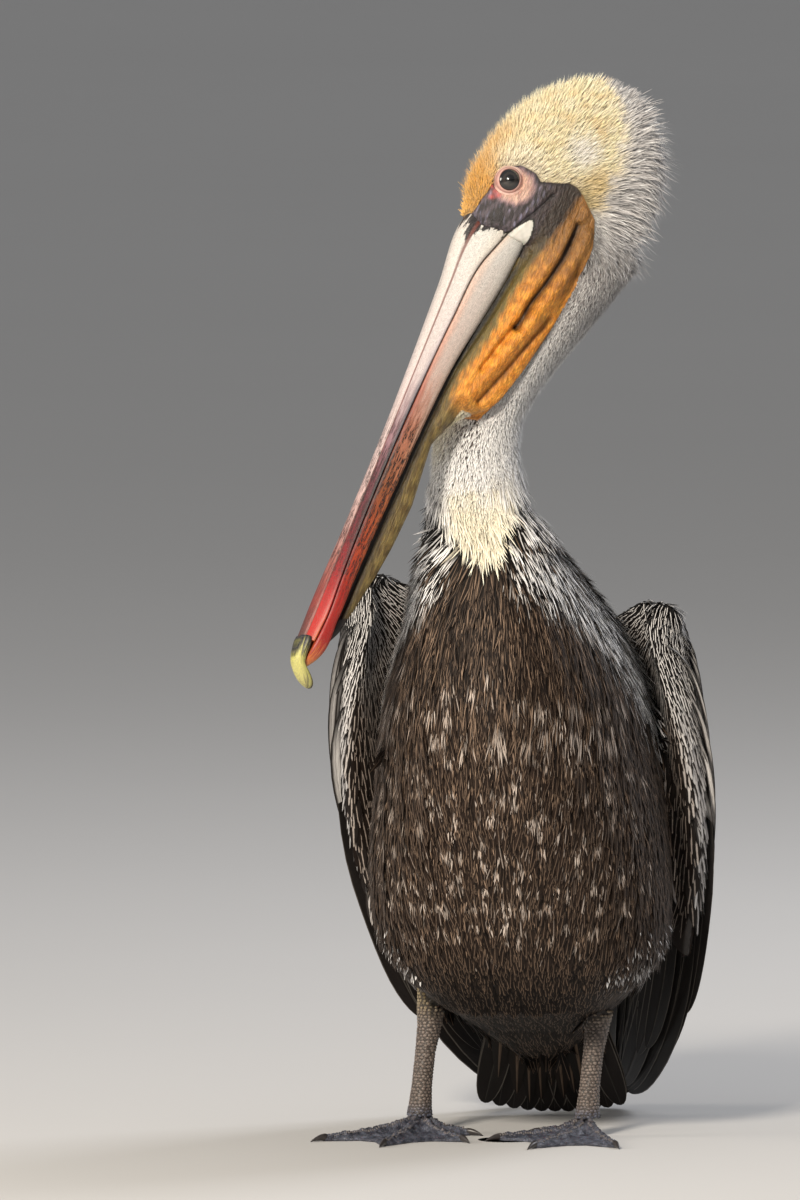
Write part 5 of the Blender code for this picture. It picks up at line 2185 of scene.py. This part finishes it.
@dataclass(frozen=True)
class Eye:
    """A wet eyeball with a bulging cornea, and the bare lid ring around it.

    Its place is in the head's frame. The iris's map counts the ball's rear half from `behind` on.
    """

    name: str
    side: int
    along: float = -32.0
    above: float = -13.3
    depth: float = 23.2
    radius: float = 8.9
    opening: float = 7.0
    pupil: float = 3.0
    lean: tuple = (0.12, 0.34)
    behind: float = 12.0

    def axis(self) -> np.ndarray:
        """The way the eye looks."""
        forward, left, up = HEAD.axes()
        return unit((self.side * left + self.lean[0] * forward + self.lean[1] * up)[None])[0]

    def middle(self) -> np.ndarray:
        """The eyeball's middle."""
        return HEAD.world(self.along, self.side * self.depth, self.above)

    def build(self, ground: Ground) -> None:
        """Makes the eyeball and its lids.

        Args:
            ground: The skin, which the lids blend into.
        """
        bpy.ops.object.select_all(action="DESELECT")
        bpy.ops.mesh.primitive_uv_sphere_add(segments=64, ring_count=48, radius=self.radius * MM)
        ball = bpy.context.view_layer.objects.active
        ball.name = f"eyeball_{self.name}"
        points = points_of(ball.data)
        off_axis = np.hypot(points[:, 0], points[:, 1])
        ahead = points[:, 2] > 0
        cornea = 0.55 * np.exp(-((off_axis / 3.6) ** 2))
        points[:, 2] += np.where(ahead, cornea, 0)
        turn = np.array(Vector(self.axis()).to_track_quat("Z", "Y").to_matrix())
        set_points(ball.data, points @ turn.T + self.middle())
        out = np.where(ahead, off_axis, self.behind + off_axis) / IRIS_MAP
        spin = np.arctan2(points[:, 1], points[:, 0]) / math.tau + 0.5
        lay_map(ball.data, "Iris", np.stack((out, spin), axis=1))
        ball.data.materials.clear()
        ball.data.materials.append(self._wet())
        ball.data.shade_smooth()
        kept(ball, "eye", f"eye_{self.name}")
        self._lids(ground)

    def _wet(self) -> bpy.types.Material:
        """A dark grey-brown iris with fine fibres under a wet, mirror-smooth cornea.

        Returns:
            The material.
        """
        material, tree = new_material(f"wet eye {self.name}")
        _, out, spin = coordinates(tree, "Iris")
        ring = maths(tree, "MULTIPLY", out, IRIS_MAP)
        place = add_node(tree, "CombineXYZ", {0: maths(tree, "MULTIPLY", ring, 0.25), 1: spin}).outputs[0]
        iris = mixed(tree, noise_at(tree, place, 60.0, 3.0), "14100E", "3A332E")
        colour = mixed(tree, ranged(tree, ring, 4.4, 5.6), iris, "0B0909")
        in_pupil = ranged(tree, ring, self.pupil, self.pupil + 0.35, 1.0, 0.0)
        colour = mixed(tree, in_pupil, colour, "040404")
        wire(tree, colour, {"Roughness": 0.25, "Coat Weight": 1.0, "Coat Roughness": 0.02})
        return material

    def _lids(self, ground: Ground) -> None:
        """The lid ring: a rolled rim at the eyeball, a pale fold, and an edge sunk in the skin.

        Args:
            ground: The skin, which the lids blend into.
        """
        around, rings = 96, 16
        turn = np.arange(around) * math.tau / around
        share = np.linspace(0, 1, rings)
        fullness = np.exp(-(((turn - math.radians(215) + math.pi) % math.tau - math.pi) / 0.9) ** 2)
        outer = self.opening + 3.7 + 1.6 * fullness
        radius = self.opening + (outer - self.opening)[:, None] * share
        squint = 1 - 0.06 * np.sin(turn) ** 2
        axis, middle = self.axis(), self.middle()
        ahead = flatten_onto(HEAD.axes()[:1], axis[None])[0]
        above = np.cross(axis, ahead) * self.side
        across = radius * np.cos(turn)[:, None]
        upward = radius * (np.sin(turn) * squint)[:, None]
        plane = middle + across[..., None] * ahead + upward[..., None] * above
        surface = np.full(around, np.nan)
        for index in range(around):
            hit = ground.tree.ray_cast(Vector(plane[index, -1] + 40 * axis), Vector(-axis))[0]
            if hit:
                surface[index] = (np.array(hit) - middle) @ axis
        level = np.clip(surface, np.nanmedian(surface) - 7, np.nanmedian(surface) + 7)[:, None]
        off_axis = np.hypot(across, upward)
        ball = np.sqrt(np.maximum(self.radius**2 - off_axis**2, 4.0)) - 0.1
        lift = np.where(share < 0.18, (share / 0.18) ** 0.5, 1.0)
        fold = 0.5 * np.exp(-(((share - 0.62) / 0.13) ** 2)) - 0.35 * np.exp(-(((share - 0.42) / 0.07) ** 2))
        height = (ball - 0.6) * (1 - lift) + (ball + 1.0) * lift
        settle = step(share, 0.2, 1.0)
        height = height * (1 - settle) + (level - 0.35) * settle + fold * (share > 0.2)
        clear = np.maximum(1.0, (self.radius + 0.6) / np.hypot(off_axis, height))
        clear = np.where(share > 0.15, clear, 1.0)[..., None]
        points = middle + clear * (plane - middle + height[..., None] * axis)
        faces = grid_faces(around, rings, False)
        last = (around - 1) * rings
        wrap = np.array([[last + k, last + k + 1, k + 1, k] for k in range(rings - 1)])
        faces = [np.concatenate((faces, wrap))]
        made = mesh_object(f"lids_{self.name}", points, faces, self._lid_skin())
        if made.data.polygons[rings // 2].normal.dot(Vector(axis)) < 0:
            made.data.flip_normals()
        own = np.stack(np.broadcast_arrays(share[None], turn[:, None] / math.tau), axis=-1)
        lay_map(made.data, "Lid", own.reshape(-1, 2))
        kept(made, "pouch_skin")

    def _lid_skin(self) -> bpy.types.Material:
        """Thin bare skin: pale pink, darker at the rim, with fine creases that ring the eye.

        Returns:
            The material.
        """
        material, tree = new_material(f"lid skin {self.name}")
        place = add_node(tree, "TexCoord").outputs["Object"]
        noise = noise_at(tree, place, 420.0, 3.0)
        stops = (
            (0.0, "2B1D1B"), (0.10, "6E4A44"), (0.2, "CDA79B"), (0.42, "AE8078"), (0.6, "DCC0B4"),
            (1.0, "D0AD9F"),
        )
        colour = ramp(tree, coordinates(tree, "Lid")[1], stops)
        colour = mixed(tree, ranged(tree, noise, 0.45, 0.75, 0.0, 0.35), colour, "B5655C")
        wire(tree, colour, {"Roughness": 0.45}, (noise, 0.3, 0.3))
        return material


@dataclass(frozen=True)
class Foot:
    """The horny plates of one leg and foot, and its claws."""

    name: str
    side: int
    heel: tuple
    turn: float
    toes: tuple = (("outer", 36, 86), ("middle", 0, 95), ("inner", -41, 69), ("hind", -86, 38))

    def build(self, ground: Ground, frame: dict, plate: bpy.types.Material, horn: bpy.types.Material) -> None:
        """Makes plates and claws.

        Args:
            ground: The skin.
            frame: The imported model.
            plate: Finish of the plates.
            horn: Finish of the claws.
        """
        spots = self._shank(ground) + self._toe_rows(ground)
        centre, up, down, wide, tall, tint = (np.array(v, float) for v in zip(*spots))
        side = unit(np.cross(up, down))
        corners = 8
        angle = np.arange(corners) * math.tau / corners + math.tau / (2 * corners)
        inward = 0.68
        across, along = (
            np.concatenate((ring, ring * inward, (0.0,))) for ring in (np.cos(angle), np.sin(angle))
        )
        rise = np.concatenate((np.full(corners, -0.3), np.full(corners, 0.26), (0.36,)))
        points = (
            centre[:, None]
            + side[:, None] * (wide[:, None] * 0.5 * across)[..., None]
            + down[:, None] * (tall[:, None] * 0.5 * along)[..., None]
            + up[:, None] * (rise + 0.16 * along)[:, None]
        )
        points[..., 2] = np.maximum(points[..., 2], 0.05)
        first = np.arange(corners)
        second = (first + 1) % corners
        outer = np.stack((first, second, corners + second, corners + first), axis=1)
        inner = np.stack((corners + first, corners + second, 0 * first + 2 * corners), axis=1)
        size = 2 * corners + 1
        faces = copied_faces((outer, inner), len(centre), size)
        made = mesh_object(f"scutes_{self.name}", points, faces, plate)
        if made.data.polygons[0].normal.dot(Vector(up[0])) < 0:
            made.data.flip_normals()
        # A plate's share from its sunken edge to its top, which the plates' finish turns into painted shade
        # at the edge and a painted highlight on top.
        edge = np.concatenate((np.zeros(corners), np.full(corners, 0.8), (1.0,)))
        paint(made.data, "hide", np.repeat(tint, size, axis=0), np.tile(edge, len(centre)))
        kept(made, "leg_skin")
        self._claws(frame, horn)

    def _shank(self, ground: Ground) -> list:
        """Plates round the leg, in staggered rows from the feathers down to the foot.

        Args:
            ground: The skin.

        Returns:
            For each: place, outward direction, direction along the leg, width, height, colour.
        """
        leg = ground.points[ground.names == f"leg_{self.name}"]
        dice = np.random.default_rng(7 + self.side)
        found = []
        lowest, highest, pitch, reach = 14.0, 112.0, 2.15, 40
        for row, z in enumerate(np.arange(lowest, highest, pitch)):
            near = leg[np.abs(leg[:, 2] - z) < 3.0]
            if len(near) < 6:
                continue
            middle = (near.min(axis=0) + near.max(axis=0)) / 2
            girth = math.pi * np.mean(near.max(axis=0)[:2] - near.min(axis=0)[:2])
            count = max(int(girth / 3.1), 8)
            for k in range(count):
                angle = (k + 0.5 * (row % 2) + 0.12 * dice.normal()) / count * math.tau
                way = Vector((math.cos(angle), math.sin(angle), 0))
                start = Vector((middle[0], middle[1], z + 0.25 * dice.normal())) + way * reach
                place, normal, _, _ = ground.tree.ray_cast(start, -way, reach + 5)
                if place is None or normal.dot(way) < 0.2:
                    continue
                joint = math.exp(-(((z - 97) / 11) ** 2))
                shade = blend("6B6059", "B7A276", joint * 0.85)
                shade = blend(shade, "4E505C", step(z, 24, 14))
                wide, tall = 3.1 * dice.uniform(0.85, 1.1), 2.5 * dice.uniform(0.85, 1.15)
                tint = shade * dice.uniform(0.75, 1.2)
                found.append((place, normal, (0.0, 0.0, -1.0), wide, tall, tint))
        return found

    def _toe_rows(self, ground: Ground) -> list:
        """Narrow plates across the top of every toe.

        Args:
            ground: The skin.

        Returns:
            For each: place, outward direction, direction along the toe, width, length, colour.
        """
        dice = np.random.default_rng(17 + self.side)
        found = []
        pitch, from_above, tallest = 1.75, 60, 22
        for name, angle, length in self.toes:
            way = self.direction(angle)
            for at in np.arange(9.0, length - 1.0, pitch):
                width = np.interp(at, (0, length), (6.4, 4.2))
                for shift in (-0.28, 0.28) if name != "hind" else (0.0,):
                    aside = np.array((way[1], -way[0], 0.0)) * shift * width
                    start = Vector((*self.heel, from_above)) + Vector(way * at + aside)
                    place, normal, _, _ = ground.tree.ray_cast(start, Vector((0, 0, -1)), from_above)
                    if place is None or place.z > tallest:
                        continue
                    shade = blend("555763", "7A7068", dice.random() * 0.7)
                    found.append((place, normal, way, width * 0.52, 2.0, shade * dice.uniform(0.8, 1.2)))
        return found

    def direction(self, angle: float) -> np.ndarray:
        """The way a toe points, from its angle outwards in degrees."""
        turn = math.radians(angle + self.turn)
        return np.array((self.side * math.sin(turn), -math.cos(turn), 0.0))

    def _claws(self, frame: dict, horn: bpy.types.Material) -> None:
        """A curved, pointed claw on every toe.

        Args:
            frame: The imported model.
            horn: Finish of the claws.
        """
        for name, angle, _ in self.toes:
            way = self.direction(angle)
            node = frame["nodes"][f"claw_{self.name}_{name}"]
            solid = points_of(node.data)
            reach = (solid[:, :2] - np.array(self.heel)) @ way[:2]
            start, end = reach.min() - 3.5, reach.max() + 0.3
            top = solid[:, 2].max() + 0.5
            rows = around = 14
            t = np.linspace(0, 1, rows)
            radius = (1 - t**1.7) * 0.5 * top * 0.92 + 0.08
            spine = np.stack((between((start, end), t), top * 0.52 * (1 - t**2.2) + 0.15), axis=1)
            turn = np.arange(around) * math.tau / around
            cross = np.array((way[1], -way[0], 0.0))
            base = np.array((*self.heel, 0.0))
            points = (
                base
                + way * spine[:, :1, None]
                + cross * (radius[:, None] * 0.8 * np.cos(turn))[..., None]
                + np.array((0, 0, 1.0)) * (spine[:, 1:] + radius[:, None] * np.sin(turn))[..., None]
            )
            points[..., 2] = np.maximum(points[..., 2], 0.05)
            made = tube(f"claw_horn_{self.name}_{name}", points, horn)
            kept(made, "claw_horn", node.name)


def plate_finish() -> bpy.types.Material:
    """Horny plates: dull, each paler in the middle than at its sunken edge: a painted highlight on top and
    painted shade at the edge.

    Returns:
        The material.
    """
    material, tree = new_material("horny leg plates")
    hide = add_node(tree, "Attribute", attribute_name="hide").outputs
    place = add_node(tree, "TexCoord").outputs["Object"]
    # Painted shade at each plate's sunken edge and a painted highlight on its top.
    raised = ranged(tree, hide["Alpha"], 0.1, 0.9, 0.35, 1.25)
    grain = ranged(tree, noise_at(tree, place, 900.0, 3.0), 0.2, 0.8, 0.8, 1.15)
    tone = maths(tree, "MULTIPLY", raised, grain)
    wire(tree, shaded(tree, hide["Color"], tone), {"Roughness": 0.42})
    return material


def claw_finish() -> bpy.types.Material:
    """Claw horn: near black, a little glossy, with faint grey growth marks.

    Returns:
        The material.
    """
    material, tree = new_material("claw horn")
    place = add_node(tree, "TexCoord").outputs["Object"]
    colour = mixed(tree, noise_at(tree, place, 500.0, 3.0), "1A1819", "4A4544")
    wire(tree, colour, {"Roughness": 0.35})
    return material


# ------------------------------------------------------------------ studio


@dataclass(frozen=True)
class Studio:
    """Plain pale floor, soft lamps, and a far camera with a long lens, a little above the breast.

    Lengths are in metres, angles in degrees.
    """

    azimuth: float = 10.0
    elevation: float = 4.5
    distance: float = 24.0
    target: tuple = (-0.0693, -0.0296, 0.3728)
    lens: float = 1051.2
    radius: float = 56.0
    curve: float = 4.0
    wall: float = 18.0

    def build(self) -> None:
        """Makes floor, world, lamps and camera."""
        self._floor()
        world = bpy.data.worlds.new("studio")
        bpy.context.scene.world = world
        world.use_nodes = True
        sky = world.node_tree.nodes["Background"]
        sky.inputs["Color"].default_value = (*linear("E6E7EA"), 1)
        sky.inputs["Strength"].default_value = 0.40
        # plain sRGB, so that gold, orange and red stay as full as they are on the bird
        bpy.context.scene.view_settings.view_transform = "Standard"
        self._lamp("key", (-0.6, -3.4, 2.1), 0.6, 165, "FFF4E4")
        self._lamp("side", (-3.2, -0.9, 1.3), 1.0, 40, "FFF6EA")
        self._lamp("rim", (1.6, 2.0, 2.2), 1.4, 50, "F6F8FF")
        camera = bpy.data.cameras.new("camera")
        camera.sensor_width = 36.0
        camera.lens = self.lens
        camera.clip_end = 120
        turn, rise = math.radians(self.azimuth), math.radians(self.elevation)
        back = Vector((math.sin(turn) * math.cos(rise), -math.cos(turn) * math.cos(rise), math.sin(rise)))
        spot = Vector(self.target) + back * self.distance
        bpy.context.scene.camera = self._place("camera", camera, spot, back)

    @staticmethod
    def _place(name: str, data: bpy.types.ID, spot: Vector, back: Vector) -> bpy.types.Object:
        """Adds a lamp or a camera that looks away from a direction.

        Args:
            name: Its name.
            data: Its lamp or camera data.
            spot: Its place.
            back: The direction.

        Returns:
            The object.
        """
        made = bpy.data.objects.new(name, data)
        made.location = spot
        made.rotation_euler = back.to_track_quat("Z", "Y").to_euler()
        bpy.context.scene.collection.objects.link(made)
        return made

    def _floor(self) -> None:
        """A pale round floor that curves up into a backdrop far away on every side."""
        profile = [(0.02, 0.0), (self.radius * 0.5, 0.0), (self.radius, 0.0)]
        profile += [
            (self.radius + self.curve * math.sin(t), self.curve * (1 - math.cos(t)))
            for t in np.linspace(0.15, math.pi / 2, 12)
        ]
        profile += [(self.radius + self.curve, self.wall)]
        sides = 72
        turns = np.arange(sides) * math.tau / sides
        points = np.array([(r * math.cos(t), r * math.sin(t), z) for r, z in profile for t in turns]) / MM
        material, tree = new_material("matt studio paper")
        grain = add_node(tree, "TexNoise", {"Scale": 160.0, "Detail": 3.0}).outputs[0]
        wire(tree, mixed(tree, grain, "C6C5C3", "CAC9C7"), {"Roughness": 0.9})
        faces = [grid_faces(len(profile), len(turns), True), np.arange(len(turns))[None]]
        floor = mesh_object("floor", points, faces, material)
        floor.data.flip_normals()

    def _lamp(self, name: str, place: tuple, size: float, power: float, shade: str) -> None:
        """A square soft lamp that looks at the bird's breast.

        Args:
            name: Its name.
            place: Its place.
            size: Its width.
            power: Its watts.
            shade: Its hex colour.
        """
        lamp = bpy.data.lights.new(name, "AREA")
        lamp.size, lamp.energy, lamp.color = size, power, linear(shade)
        breast = Vector((0, 0, 0.42))
        self._place(name, lamp, Vector(place), Vector(place) - breast)


# ------------------------------------------------------------------ the bird


def main() -> None:
    """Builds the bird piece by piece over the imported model."""
    logging.basicConfig(level=logging.INFO, format="%(name)s: %(message)s")
    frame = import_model()
    Studio().build()
    skin = Skin()
    body = skin.build(frame)
    log.info("skin: %d faces", len(body.data.polygons))
    ground = Ground(skin, body)
    dress_skin(body, skin)
    Coat(ground).build()
    streaked = Vanes("wing coverts", 0.05, roughness=0.55, sheen=0.15).make()
    silver = Vanes("silver coverts", 0.0, roughness=0.5, sheen=0.12, ribs=70).make()
    flight = Vanes("flight feathers", 0.0, roughness=0.45, sheen=0.08, ribs=110, fringe=0.10).make()
    for number, (name, side) in enumerate(SIDES):
        wing = Wing(name, side)
        wing.coverts(ground, streaked, 101 + 10 * number)
        wing.long_feathers(silver, flight, 121 + 10 * number)
    Tail().build(flight, streaked)
    Bill().build()
    for name, side in SIDES:
        Eye(name, side).build(ground)
    plate, horn = plate_finish(), claw_finish()
    Foot("right", -1, (-66.3, 30.3), 5.0).build(ground, frame, plate, horn)
    Foot("left", 1, (50.7, 30.3), -13.0).build(ground, frame, plate, horn)


if __name__ == "__main__":
    main()
